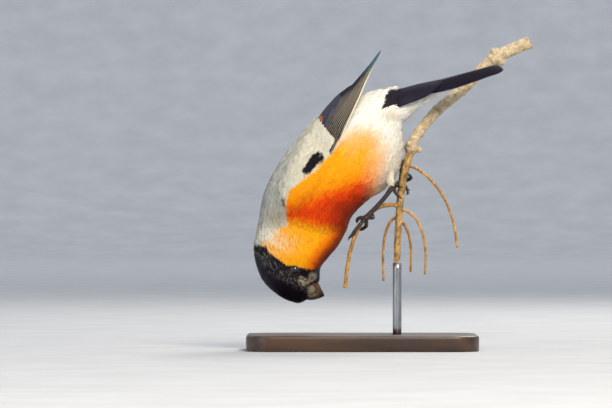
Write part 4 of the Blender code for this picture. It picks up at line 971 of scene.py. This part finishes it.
for label, side in (("left", 1), ("right", -1)):
    quills, coverts = wingParts(side)
    points, faces, tone, uv = joined(quills)
    addPiece(f"wing_{label}_quills", points, faces, wingVane, tone=tone, uv=uv,
        uvName="FeatherLines", replaces=(f"wing_{label}",))
    points, faces, tone, uv = joined(coverts)
    addPiece(f"wing_{label}_coverts", points, faces, wingVane, tone=tone, uv=uv,
        uvName="FeatherLines")
print("wings ready")

tailRows = {
    "roots": [3.2, 2.7, 2.2, 1.65, 1.1, 0.5], "tips": [7.2, 6.1, 5.0, 3.8, 2.5, 1.0],
    "lengths": [50.6, 50.6, 50.4, 50.0, 49.5, 48.9], "levels": [0.2, 0.55, 0.9, 1.25, 1.6, 1.95],
    "halfWidth": 2.7,
    # the black coverts: (arc from the top at the root, arc at the tip, length)
    "coverts": [(9.4, 7.4, 17.0), (7.9, 6.3, 19.5), (6.3, 5.1, 21.5), (4.7, 3.9, 23.5), (3.0, 2.5, 25.0),
        (1.2, 1.0, 26.5)],
    "covertWidth": 1.9, "wrap": 7.0,
    "vane": linear("#09070d"), "fringe": linear("#1c1826"),
}


def tailPlace(across, along, high, side):
    # the tail's surface falls by the arch times the distance across squared
    arch = np.array(tail["arch"])
    rise = high - np.interp(along, arch[:, 0], arch[:, 1]) * across ** 2
    return tailSpace(along, rise, -across * side)


def covertPlace(along, across, high, side):
    # the coverts wrap round the rump's end: across is an arc on a circle that flattens along the tail
    radius = tailRows["wrap"]
    turn = across / radius
    wrapped = 1 - smooth(6.0, 24.0, along)
    arch = np.array(tail["arch"])
    flat = np.interp(along, arch[:, 0], arch[:, 1]) * across ** 2
    rise = high - wrapped * radius * (1 - np.cos(turn)) - (1 - wrapped) * flat
    out = across * (1 - wrapped) + wrapped * (radius + 0.6 * high) * np.sin(turn)
    return tailSpace(along, rise, -out * side)


tailParts = []
for side in (1, -1):
    def place(along, across, high, side=side):
        return tailPlace(across, along, high, side)
    tailParts += quillStrips(place, -1.0, tailRows["roots"], tailRows["lengths"], tailRows["tips"],
        tailRows["halfWidth"], tailRows["levels"], 0.14, 0.05, lambda along: 0.8
        * (1 - smooth(2.0, 12.0, along)), (tailRows["vane"], tailRows["fringe"], 0.10, flight["shaft"]))
    arcs = np.array(tailRows["coverts"])
    count = len(arcs)
    tailParts += quillStrips(lambda along, across, high, side=side: covertPlace(along, across, high, side),
        -4.5, arcs[:, 0], arcs[:, 2], arcs[:, 1], tailRows["covertWidth"], np.linspace(1.6, 2.6, count),
        0.45, 0.08, lambda along: 0.9 * (1 - smooth(-4.5, 3.0, along)) + 0.06 * np.clip(along - 12, 0, 99),
        (tailRows["vane"], tailRows["fringe"], 0.06, flight["shaft"]))
points, faces, tone, uv = joined(tailParts)
addPiece("tail_feathers", points, faces, tailVane, tone=tone, uv=uv,
    uvName="FeatherLines", replaces=("tail",))
print("tail ready")


# Eyes, lids and bill.
def mottled(name, dark, light, size, roughness, bumpDepth, squash=(1.0, 1.0, 1.0), useTone=False,
        **numbers):
    # two colours mixed by noise with features of a size in millimetres, which also raise the surface;
    # squash draws them out along an axis, and useTone multiplies the mesh's own tone over them
    material, tree, shader = newMaterial(name, Roughness=roughness, **numbers)
    place = addNode(tree, "ShaderNodeTexCoord")
    turn = addNode(tree, "ShaderNodeMapping", {"Vector": place.outputs["Object"], "Scale": squash})
    noise = addNode(tree, "ShaderNodeTexNoise", {"Vector": turn.outputs[0], "Scale": 1000 / size,
        "Detail": 6.0})
    ramp = addNode(tree, "ShaderNodeValToRGB", {0: noise.outputs[0]})
    for element, position, code in zip(ramp.color_ramp.elements, (0.35, 0.68), (dark, light)):
        element.position, element.color = position, (*linear(code), 1)
    bump = addNode(tree, "ShaderNodeBump", {"Strength": 0.6, "Distance": bumpDepth * 0.001,
        "Height": noise.outputs[0]})
    colour = ramp.outputs[0]
    if useTone:
        tone = addNode(tree, "ShaderNodeAttribute", attribute_name="tone")
        over = addNode(tree, "ShaderNodeMix", {0: 1.0, 6: colour, 7: tone.outputs["Color"]},
            data_type="RGBA", blend_type="MULTIPLY")
        colour = over.outputs[2]
    feed(tree, shader, {"Base Color": colour, "Normal": bump.outputs[0]})
    return material


# a wet cornea: a clear coat with small sharp glints over a nearly black eye
eyeGloss, tree, shader = newMaterial("wet dark eye", Roughness=0.25, Coat_Weight=1.0, Coat_Roughness=0.02,
    Coat_IOR=1.6, Specular_IOR_Level=0.05)
tone = addNode(tree, "ShaderNodeAttribute", attribute_name="tone")
feed(tree, shader, {"Base Color": tone.outputs["Color"]})
lidSkin = mottled("eyelid skin", "#1f1413", "#48332c", 0.6, 0.5, 0.08)


def eyeAxis():
    # the outward way of the skin at the eye: the nearest place of the skin to its centre
    s, a = np.meshgrid(np.linspace(0.3, 3.0, 120), np.linspace(0.3, 2.8, 120), indexing="ij")
    grid = skinPoint(s, a)
    best = np.unravel_index(np.argmin(np.linalg.norm(grid - eyeCentre, axis=-1)), s.shape)
    normal, _ = outward(skinPoint, s[best][None], a[best][None])
    return normal[0]


axis = eyeAxis()
for label, side in (("left", 1.0), ("right", -1.0)):
    mirror = np.array([1.0, side, 1.0])
    out = axis * mirror
    across = unit(np.cross(out, (0.0, 0.0, 1.0)))
    up = np.cross(across, out)
    lat, lon = np.meshgrid(np.linspace(0, math.pi, 49), np.linspace(0, 2 * math.pi, 64, endpoint=False),
        indexing="ij")
    # the cornea bulges a little over the iris
    reach = eyeRadius * (1 + 0.05 * np.exp(-(lat / 0.55) ** 2))
    ball = (eyeCentre * mirror + reach[..., None] * (np.cos(lat)[...,
        None] * out + (np.sin(lat) * np.cos(lon))[..., None] * across + (np.sin(lat) * np.sin(lon))[...,
        None] * up))
    off = np.sin(lat) * eyeRadius
    tone = mix(eye["pupilTone"], eye["irisTone"], smooth(eye["pupil"] - 0.1, eye["pupil"] + 0.15,
        off) * (0.75 + 0.25 * np.sin(lon * 23)))
    tone = mix(tone, eye["rimTone"], np.maximum(smooth(eye["iris"] - 0.3, eye["iris"], off),
        np.cos(lat) < 0))
    addPiece(f"eyeball_{label}", ball, gridFaces(49, 64, True), eyeGloss, tone=tone,
        replaces=(f"eye_{label}",))
    # the lid: a ring round the eye, beaded like the real edge
    beadTurn, tube = np.meshgrid(np.linspace(0, 2 * math.pi, 144, endpoint=False),
        np.linspace(0, 2 * math.pi, 14, endpoint=False), indexing="ij")
    beads = eye["lidRadius"] * (1 + 0.06 * np.cos(eye["beads"] * beadTurn) + 0.14
        * np.cos(beadTurn * 2 + 0.6))
    ringOut = np.cos(beadTurn)[..., None] * across * 1.04 + np.sin(beadTurn)[..., None] * up * 0.96
    lift = math.sqrt(eyeRadius ** 2 - eye["lidReach"] ** 2)
    ring = (eyeCentre * mirror + ringOut * (eye["lidReach"] + beads * np.cos(tube))[...,
        None] + out * (lift + beads * np.sin(tube))[..., None])
    ring = np.concatenate([ring, ring[:1]])
    addPiece(f"eyelid_{label}", ring, gridFaces(145, 14, True), lidSkin)

bill = {
    # (ridge x, ridge z, mouth x, mouth z, half width), from inside the face to the tip
    "upper": [(-27.6, 24.8, -24.4, 30.2, 4.6), (-25.8, 23.1, -22.4, 29.4, 5.3),
        (-23.9, 22.5, -21.0, 28.4, 4.9), (-21.6, 22.6, -19.7, 27.3, 3.8), (-19.3, 23.2, -18.5, 26.2, 2.4),
        (-17.8, 23.8, -17.6, 25.2, 1.2), (-16.8, 24.3, -16.9, 24.6, 0.2)],
    "lower": [(-22.6, 33.4, -24.5, 30.1, 4.4), (-21.0, 32.2, -22.5, 29.3, 4.8),
        (-20.0, 30.9, -21.1, 28.3, 4.2), (-19.0, 29.1, -19.8, 27.2, 3.2), (-18.2, 27.4, -18.6, 26.0, 1.9),
        (-17.4, 25.9, -17.7, 25.1, 0.9), (-17.0, 25.0, -17.1, 24.7, 0.2)],
    "ridgePower": 0.72,
    # the pale and the brown are painted light on the bill's own dark horn
    "pale": linear("#938a76"), "brown": linear("#784a2d"), "dark": linear("#1c1614"),
}
# horn of the bill: smooth, half matt, faintly streaked lengthwise
horn = mottled("bill horn", "#8f887e", "#ffffff", 1.6, 0.34, 0.03, squash=(0.5, 1.6, 0.5), useTone=True)
for key in ("upper", "lower"):
    rows = splinePoints(bill[key], np.linspace(0, len(bill[key]) - 1, 60))
    turn = np.linspace(0, math.pi, 41)
    rise = np.sin(turn)[None, :] ** bill["ridgePower"]
    # the cutting edge swells out a little over the mouth's line
    wide = 1 + 0.05 * np.exp(-((np.sin(turn)[None, :] - 0.1) / 0.12) ** 2)
    points = np.stack([rows[:, 2, None] + (rows[:, 0, None] - rows[:, 2, None]) * rise,
        -rows[:, 4, None] * np.cos(turn)[None, :] * wide, rows[:, 3,
        None] + (rows[:, 1, None] - rows[:, 3, None]) * rise], -1)
    points = np.concatenate([points[:1] * 0 + points[:1].mean(1, keepdims=True), points,
        points[-1:] * 0 + points[-1:].mean(1, keepdims=True)])
    # painted light: pale by the face and brown on the lower half, over the bill's own dark, which shows at
    # the tip and the ridges; a painted line of shade darkens the mouth's line
    run = np.linspace(0, 1, 62)[:, None] + 0 * turn[None, :]
    arc = np.sin(turn)[None, :] + 0 * run
    tone = mix(bill["pale" if key == "upper" else "brown"], bill["brown"], 0.5 * smooth(0.35, 0.7, run))
    tone = mix(tone, bill["dark"], smooth(0.36, 0.8, run))
    tone = mix(tone, bill["dark"], 0.85 * smooth(0.55, 0.95, arc))
    tone = mix(tone, bill["dark"], 0.7 * np.exp(-(arc / 0.07) ** 2))
    tone = tone * (1 + 0.10 * np.sin(run * 60 + arc * 5) * smooth(0.8, 0.2, run))[..., None]
    addPiece(f"bill_{key}_horn", points, gridFaces(62, 41, True), horn, tone=tone,
        replaces=(f"bill_{key}",))
print("head details ready")

# Legs, feet and claws, gripping the stem and a stalk.
perch = {
    "twig": [(21.8, 1.0, 91.2), (23.6, 3.2, 94.8), (27.6, 7.4, 100.4), (34.3, 12.0, 108.2),
        (44.4, 16.0, 116.6), (53.0, 17.8, 125.0), (61.6, 18.8, 132.4), (76.4, 19.4, 139.2)],
    "twigRadii": (2.2, 2.3, 2.6, 2.9),
    "stem": [(21.6, 0.6, 88.9), (20.4, 0.2, 85.0), (19.2, 0.0, 80.0), (18.0, 0.0, 74.0), (17.2, 0.0, 67.0),
        (16.6, 0.0, 58.0), (16.0, 0.0, 48.0), (15.8, 0.0, 39.6)],
    "stemRadii": (1.8, 1.45),
    "stalks": {
        "left": [(17.0, 0.0, 64.6), (13.0, -1.4, 65.4), (7.6, -3.4, 64.2), (2.6, -5.0, 60.8),
            (-0.8, -5.8, 56.4), (-3.2, -6.2, 51.2), (-5.4, -6.2, 44.0), (-6.8, -6.2, 36.0),
            (-7.6, -6.2, 28.0)],
        "outer": [(20.0, 0.0, 83.0), (24.6, 1.8, 81.6), (31.2, 3.4, 76.4), (37.4, 4.4, 67.8),
            (41.4, 5.0, 57.0), (43.0, 5.2, 46.0)],
        "right": [(16.9, 0.0, 63.0), (20.6, -1.8, 62.2), (25.0, -3.2, 58.0), (27.6, -4.0, 51.0),
            (28.6, -4.2, 43.0), (28.2, -4.2, 34.0)],
        "back": [(16.6, 0.0, 58.0), (19.0, 2.4, 56.4), (21.4, 5.0, 51.0), (22.2, 6.2, 44.0),
            (22.0, 6.6, 35.0)],
        "middle": [(16.7, 0.0, 59.8), (13.4, 2.4, 58.4), (10.6, 4.4, 52.4), (9.6, 5.2, 43.0),
            (9.8, 5.4, 31.0)],
    },
    # bark, its pale patches, and the cut ends
    "twigTones": ("#c9b496", "#e3d2b0", "#f0e4c2"), "stemTones": ("#9a7c4c", "#d2ae6c", "#ecd9a8"),
    "stalkTones": ("#b07f3c", "#dcae62", "#f0dcab"),
    # small lumps and buds on the twig and its knob: x, y, z, radius
    "lumps": [(22.2, 1.2, 91.0, 3.1), (25.6, 1.6, 90.2, 1.5), (21.2, -1.6, 93.0, 1.3),
        (23.0, 4.2, 93.6, 1.6), (46.0, 15.0, 116.0, 1.4), (60.6, 18.4, 134.4, 2.2),
        (63.0, 18.6, 130.6, 2.2)],
}
feet = {"left": {"route": perch["stalks"]["left"], "stalk": 0.95, "grip": 3.35,
    "toes": [(-22.0, -140.0, 6.5), (4.0, 105.0, 10.0), (30.0, 130.0, 3.0), (-20.0, -150.0, -4.2)]},
    "right": {"route": perch["stem"], "stalk": 1.8, "grip": 2.75,
    "toes": [(-35.0, -150.0, 6.5), (-12.0, -140.0, 2.2), (12.0, 100.0, 4.6), (15.0, 140.0, -3.6)]},
    "gap": 0.3, "toeRadii": (0.95, 0.85, 0.8, 0.62), "clawTurn": 42.0,}


def besideStalk(route, grip, advance, radial, turn, distance):
    # points beside a stalk's curve: so far along it, turned about it from a first direction, so far out
    dense = splinePoints(route, np.linspace(0, len(route) - 1, 400))
    run = np.concatenate([[0], np.cumsum(np.linalg.norm(np.diff(dense, axis=0), axis=1))])
    start = np.interp(grip, np.linspace(0, len(route) - 1, 400), run)
    here = np.column_stack([np.interp(start + advance, run, dense[:, k]) for k in range(3)])
    ahead = np.column_stack([np.interp(start + advance + 0.5, run, dense[:, k]) for k in range(3)])
    tangent = unit(ahead - here)
    out = unit(radial - tangent * np.sum(radial * tangent, axis=1, keepdims=True))
    swing = np.radians(turn)[:, None]
    return here + np.asarray(distance)[:, None] * (np.cos(swing) * out + np.sin(swing) * np.cross(tangent,
        out))


def scuted(count, depth, phase=0.0):
    # a scaled leg: the radius steps in a saw-tooth along the leg on its front, and has small grains behind
    def shape(share, turn, points):
        saw = np.mod(share * count + 0.08 * np.sin(turn * 2), 1)
        front = 0.5 + 0.5 * np.cos(turn - phase)
        return 1 + depth * (saw - 0.5) * front + 0.4 * depth * np.sin(turn * 7) * np.sin(share * count
            * 9) * (1 - front)
    return shape


def toeShape(share, turn, points):
    # joints: the toe swells at each pad and is ringed by fine scales
    pads = 0.10 * np.cos(share * 2 * math.pi * 3)
    return 1 + pads * (0.6 + 0.4 * np.cos(turn)) + 0.05 * (np.mod(share * 22, 1) - 0.5)


def ballPart(centre, radius, rings=24, sides=32, grain=0.0):
    # a sphere with soft lumps
    lat, lon = np.meshgrid(np.linspace(0, math.pi, rings), np.linspace(0, 2 * math.pi, sides,
        endpoint=False), indexing="ij")
    way = np.stack([np.sin(lat) * np.cos(lon), np.sin(lat) * np.sin(lon), np.cos(lat)], -1)
    points = np.asarray(centre) + way * radius * (1 + grain * ripple(way * radius + centre, 1.6, 2.0))[...,
        None]
    flat = np.zeros((rings * sides, 1))
    return (points.reshape(-1, 3), gridFaces(rings, sides, True), np.zeros((rings * sides, 2)), flat, flat)


# scaled leg skin, half matt; the claws are smoother polished horn
legHorn = mottled("leg scales", "#1d1513", "#4a3630", 0.7, 0.5, 0.06, useTone=True)
clawHorn = mottled("claw horn", "#120e0d", "#2e2623", 0.9, 0.28, 0.02, squash=(1, 1, 0.4), useTone=True)
clawParts, clawNodes = [], []
for label in ("left", "right"):
    leg, foot = legs[label], feet[label]
    heel, hip = np.array(leg["heel"]), np.array(leg["hip"])
    radial = heel - splinePoints(foot["route"], foot["grip"])
    reach = foot["stalk"] + feet["gap"] + feet["toeRadii"][0]
    ball = besideStalk(foot["route"], foot["grip"], np.zeros(1), radial, np.zeros(1),
        np.full(1, reach + 0.5))[0]
    down = unit(ball - heel)
    bulge = np.cross(down, (0.0, 1.0, 0.0)) * 0.5
    shank = sweep([heel - down * 0.8, heel * 0.6 + ball * 0.4 + bulge, ball - down * 0.2],
        (1.3, 1.0, 1.0, 1.2), 90, 28, scuted(9, 0.10, math.pi))
    shade = 1.0 + 0.35 * (np.mod(shank[3] * 9, 1) - 0.5)
    addPiece(f"shank_{label}", shank[0], shank[1], legHorn, tone=np.repeat(shade, 3, 1),
        replaces=(f"tarsus_{label}",))
    parts = [ballPart(ball, 1.45, grain=0.05)]
    for number, (first, last, advance) in enumerate(foot["toes"], 1):
        t = np.linspace(0, 1, 5)
        path = besideStalk(foot["route"], foot["grip"], advance * t ** 0.8, radial,
            first * np.minimum(1, t * 3) + (last - first) * t, reach + 0.25 * np.sin(math.pi * t))
        path[0] = ball
        parts.append(sweep(path, feet["toeRadii"], 72, 22, toeShape))
        sign = 1 if last > first else -1
        t = np.array([0, 0.34, 0.67, 1.0])
        claw = besideStalk(foot["route"], foot["grip"], advance * (1 + 0.22 * t), radial,
            last + sign * feet["clawTurn"] * t, reach + 0.55 * np.sin(math.pi * t * 0.8) - 0.5 * t)
        claw = claw - unit(claw[0] - path[-2]) * 0.1
        clawParts.append(sweep(claw, (0.60, 0.36, 0.06), 40, 18, lambda share, turn,
            points: 1 + 0.12 * np.cos(2 * turn) * (1 - share)))
        clawNodes.append(f"claw_{label}_{number}")
    points, faces, uv, along, cut = joined(parts)
    shade = 1.0 + 0.30 * (np.mod(along * 22, 1) - 0.5)
    addPiece(f"toes_{label}", points, faces, legHorn, tone=np.repeat(shade, 3, 1),
        replaces=(f"foot_{label}",))
points, faces, uv, along, cut = joined(clawParts)
addPiece("claws", points, faces, clawHorn, tone=np.repeat(1.2 - 0.5 * along, 3, 1),
    replaces=clawNodes)
print("legs ready")


# The perch: bark with nodes and pale specks, and straw-coloured stalks, all cut clean at their ends.
def barkShape(share, turn, points):
    # lengthwise furrows, soft lumps, and a swollen node every fifth of the way
    furrow = 0.02 * np.sin(9 * turn + 2.5 * ripple(points, 7.0, 1.0))
    node = 0.16 * np.exp(-((np.mod(share * 5 + 0.35, 1) - 0.5) / 0.07) ** 2) * (0.7 + 0.3
        * np.cos(turn + share * 9))
    return 1 + furrow + node + 0.045 * ripple(points, 3.6, 3.0) + 0.02 * ripple(points, 1.1, 6.0)


def stalkShape(share, turn, points):
    # five soft ridges along the stalk, and slight kinks in its thickness
    return 1 + 0.07 * np.cos(5 * turn + share * 4) + 0.08 * ripple(points, 4.0, 2.0) + 0.03 * ripple(points,
        0.9, 5.0)


def woodTone(points, cut, share, bark, pale, endTone):
    # patches of two bark colours by soft lumps, darker in a ring beside each node, pale on the cut ends
    patch = smooth(-0.5, 0.6, ripple(points, 5.5, 8.0) + 0.5 * ripple(points, 1.3, 9.0))
    tone = mix(linear(bark), linear(pale), patch)
    ring = np.exp(-((np.mod(share[:, 0] * 5 + 0.35, 1) - 0.42) / 0.035) ** 2)
    tone = mix(tone, linear(bark) * 0.5, 0.5 * ring)
    return mix(tone, linear(endTone), cut[:, 0])


# dry bark, rough and matt; the stalks are smoother straw, with fibres drawn out along them
bark = mottled("ash twig bark", "#cbc4b8", "#ffffff", 1.1, 0.85, 0.12, useTone=True)
straw = mottled("dry ash stalk", "#c9b9a0", "#ffffff", 0.8, 0.6, 0.05, squash=(1, 1, 0.25), useTone=True)
parts = [sweep(perch["twig"], perch["twigRadii"], 340, 40, barkShape)]
parts += [ballPart(lump[:3], lump[3], 36, 48, 0.10) for lump in perch["lumps"]]
points, faces, uv, along, cut = joined(parts)
addPiece("twig_bark", points, faces, bark, replaces=("perch_twig",),
    tone=woodTone(points, cut, along, *perch["twigTones"]))
points, faces, uv, along, cut = sweep(perch["stem"], perch["stemRadii"], 260, 32, stalkShape)
addPiece("stem_bark", points, faces, straw, replaces=("perch_stem",),
    tone=woodTone(points, cut, along, *perch["stemTones"]))
parts, nodes = [], []
for key, route in perch["stalks"].items():
    radii = (0.95, 0.8) if key == "left" else (0.7, 0.5)
    parts.append(sweep(route, radii, 150, 20, stalkShape))
    nodes.append(f"perch_stalk_{key}")
points, faces, uv, along, cut = joined(parts)
addPiece("stalks_straw", points, faces, straw, replaces=nodes,
    tone=woodTone(points, cut, along, *perch["stalkTones"]))
print("perch ready")

# The stand: a wooden base and a steel rod.
stand = {"size": (104.0, 66.0, 7.0), "corner": 12.0, "rod": 2.0, "rodAt": (15.8, 0.0)}


def roundedOutline(inset, count=24):
    # a rectangle with round corners, drawn in from the base's sides
    turn = np.radians(np.concatenate([np.linspace(q, q + 90, count) for q in (0, 90, 180, 270)]))
    corner = np.repeat([(1, 1), (-1, 1), (-1, -1), (1, -1)], count, axis=0)
    radius = stand["corner"] - inset
    half = np.array(stand["size"][:2]) / 2 - stand["corner"]
    return corner * half + radius * np.column_stack([np.cos(turn), np.sin(turn)])


levels = [(6.0, 0.0), (0.8, 0.0), (0.25, 0.2), (0.0, 0.8), (0.0, 5.9), (0.15, 6.5), (0.5, 6.85), (1.1, 7.0),
    (6.0, 7.0)]
rings = [np.column_stack([roundedOutline(inset), np.full(96, z)]) for inset, z in levels]
points = np.stack([rings[0] * (0, 0, 1)] + rings + [rings[-1] * (0, 0, 1)]).reshape(-1, 3)
# stained ash wood under a thin satin varnish
wood, tree, shader = newMaterial("dark stained ash", Roughness=0.42, Coat_Weight=0.25, Coat_Roughness=0.25)
# growth rings: the sine of the distance across the grain plus stretched noise, mixed between two browns
place = addNode(tree, "ShaderNodeTexCoord")
split = addNode(tree, "ShaderNodeSeparateXYZ", {0: place.outputs["Object"]})
stretch = addNode(tree, "ShaderNodeMapping", {"Vector": place.outputs["Object"], "Scale": (0.12, 1.0, 1.0)})
noise = addNode(tree, "ShaderNodeTexNoise", {"Vector": stretch.outputs[0], "Scale": 60.0, "Detail": 5.0})
spacing = addNode(tree, "ShaderNodeMath", {0: split.outputs["Y"], 1: 2 * math.pi / 0.0034},
    operation="MULTIPLY")
bend = addNode(tree, "ShaderNodeMath", {0: noise.outputs[0], 1: 26.0}, operation="MULTIPLY")
total = addNode(tree, "ShaderNodeMath", {0: spacing.outputs[0], 1: bend.outputs[0]}, operation="ADD")
wave = addNode(tree, "ShaderNodeMath", {0: total.outputs[0]}, operation="SINE")
spread = addNode(tree, "ShaderNodeMapRange", {0: wave.outputs[0], "From Min": -1.0, "From Max": 1.0})
ramp = addNode(tree, "ShaderNodeValToRGB", {0: spread.outputs[0]})
for element, code in zip(ramp.color_ramp.elements, ("#35231a", "#49321f")):
    element.color = (*linear(code), 1)
bump = addNode(tree, "ShaderNodeBump", {"Strength": 0.3, "Distance": 0.0001, "Height": wave.outputs[0]})
feed(tree, shader, {"Base Color": ramp.outputs[0], "Normal": bump.outputs[0]})
addPiece("stand_base_wood", points, gridFaces(len(levels) + 2, 96, True), wood,
    replaces=("stand_base",))
# steel rod, brushed round and round
steel = mottled("brushed steel", "#8f9092", "#bdbec0", 0.6, 0.32, 0.01, squash=(1, 1, 0.05), Metallic=1.0)
rod = sweep([(*stand["rodAt"], 7.0), (*stand["rodAt"], 23.0), (*stand["rodAt"], 39.3)], (stand["rod"],) * 2,
    12, 48)
addPiece("stand_rod_steel", rod[0], rod[1], steel, replaces=("stand_rod",))
print("stand ready")

# Floor: a pale round sheet, sized in metres, that curves up far behind the camera on every side.
room = {"flat": 4.0, "bend": 1.4, "rise": 2.2, "near": linear("#b6babf"), "far": linear("#eef1f5"),
    "sky": "#e6e9ee", "skyStrength": 0.50}
turn = np.linspace(0, math.pi / 2, 24)
profile = np.vstack([np.column_stack([np.linspace(0, 3.5, 15), np.zeros(15)]),
    np.column_stack([room["flat"] + room["bend"] * np.sin(turn), room["bend"] * (1 - np.cos(turn))]),
    [(room["flat"] + room["bend"], room["bend"] + room["rise"])]])
around = np.linspace(0, 2 * math.pi, 128, endpoint=False)
sheet = np.stack([profile[:, None, 0] * np.cos(around), profile[:, None, 0] * np.sin(around),
    profile[:, None, 1] + 0 * around], -1)
paper = mottled("pale paper floor", "#f4f4f4", "#ffffff", 40.0, 0.9, 0.05, useTone=True)
mesh = bpy.data.meshes.new("floor")
mesh.from_pydata(sheet.reshape(-1, 3).tolist(), [], gridFaces(len(profile), 128, True).tolist())
mesh.materials.append(paper)
mesh.shade_smooth()
# painted shade: the paper is a little darker under the bird than far from it
fade = smooth(0.6, 3.6, np.hypot(sheet[..., 0], sheet[..., 1]))
shade = mix(room["near"], room["far"], fade)
layer = mesh.color_attributes.new("tone", "FLOAT_COLOR", "POINT")
layer.data.foreach_set("color", np.concatenate([shade, np.ones(shade.shape[:2] + (1,))],
    -1).astype(np.float32).ravel())
floor = bpy.data.objects.new("floor", mesh)
bpy.context.scene.collection.objects.link(floor)

world = bpy.data.worlds.new("soft studio")
world.use_nodes = True
feed(world.node_tree, world.node_tree.nodes["Background"], {"Color": (*linear(room["sky"]), 1.0),
    "Strength": room["skyStrength"]})
bpy.context.scene.world = world

# where each lamp stands in metres, its size, strength and colour; all face the bird
lamps = {"key": ((0.40, -1.12, 0.95), 0.50, 21.5, "#fff3df"),
    "fill": ((-1.0, -0.8, 0.35), 0.9, 3.5, "#e6edff"), "rim": ((0.35, 0.75, 0.8), 0.5, 8.0, "#fff6ea"),
    "overhead": ((0.0, 0.0, 3.4), 5.0, 50.0, "#f4f7ff"),}
aim = np.array([0.0, 0.0, 0.08])
for name, (spot, size, power, tint) in lamps.items():
    lamp = bpy.data.lights.new(name, "AREA")
    lamp.size, lamp.energy, lamp.color = size, power, linear(tint)
    holder = bpy.data.objects.new(name, lamp)
    holder.location = spot
    holder.rotation_euler = Vector(aim - np.array(spot)).to_track_quat("-Z", "Y").to_euler()
    bpy.context.scene.collection.objects.link(holder)

view = bpy.data.cameras.new("photo view")
view.lens, view.sensor_width = 300, 36
view.clip_start, view.clip_end = 0.1, 20
camera = bpy.data.objects.new("photo view", view)
camera.location = (-0.0252, -2.295, 0.0657)
camera.rotation_euler = (math.pi / 2, 0, 0)
bpy.context.scene.collection.objects.link(camera)
bpy.context.scene.camera = camera
bpy.context.scene.view_settings.view_transform = "Standard"

print("scene ready")
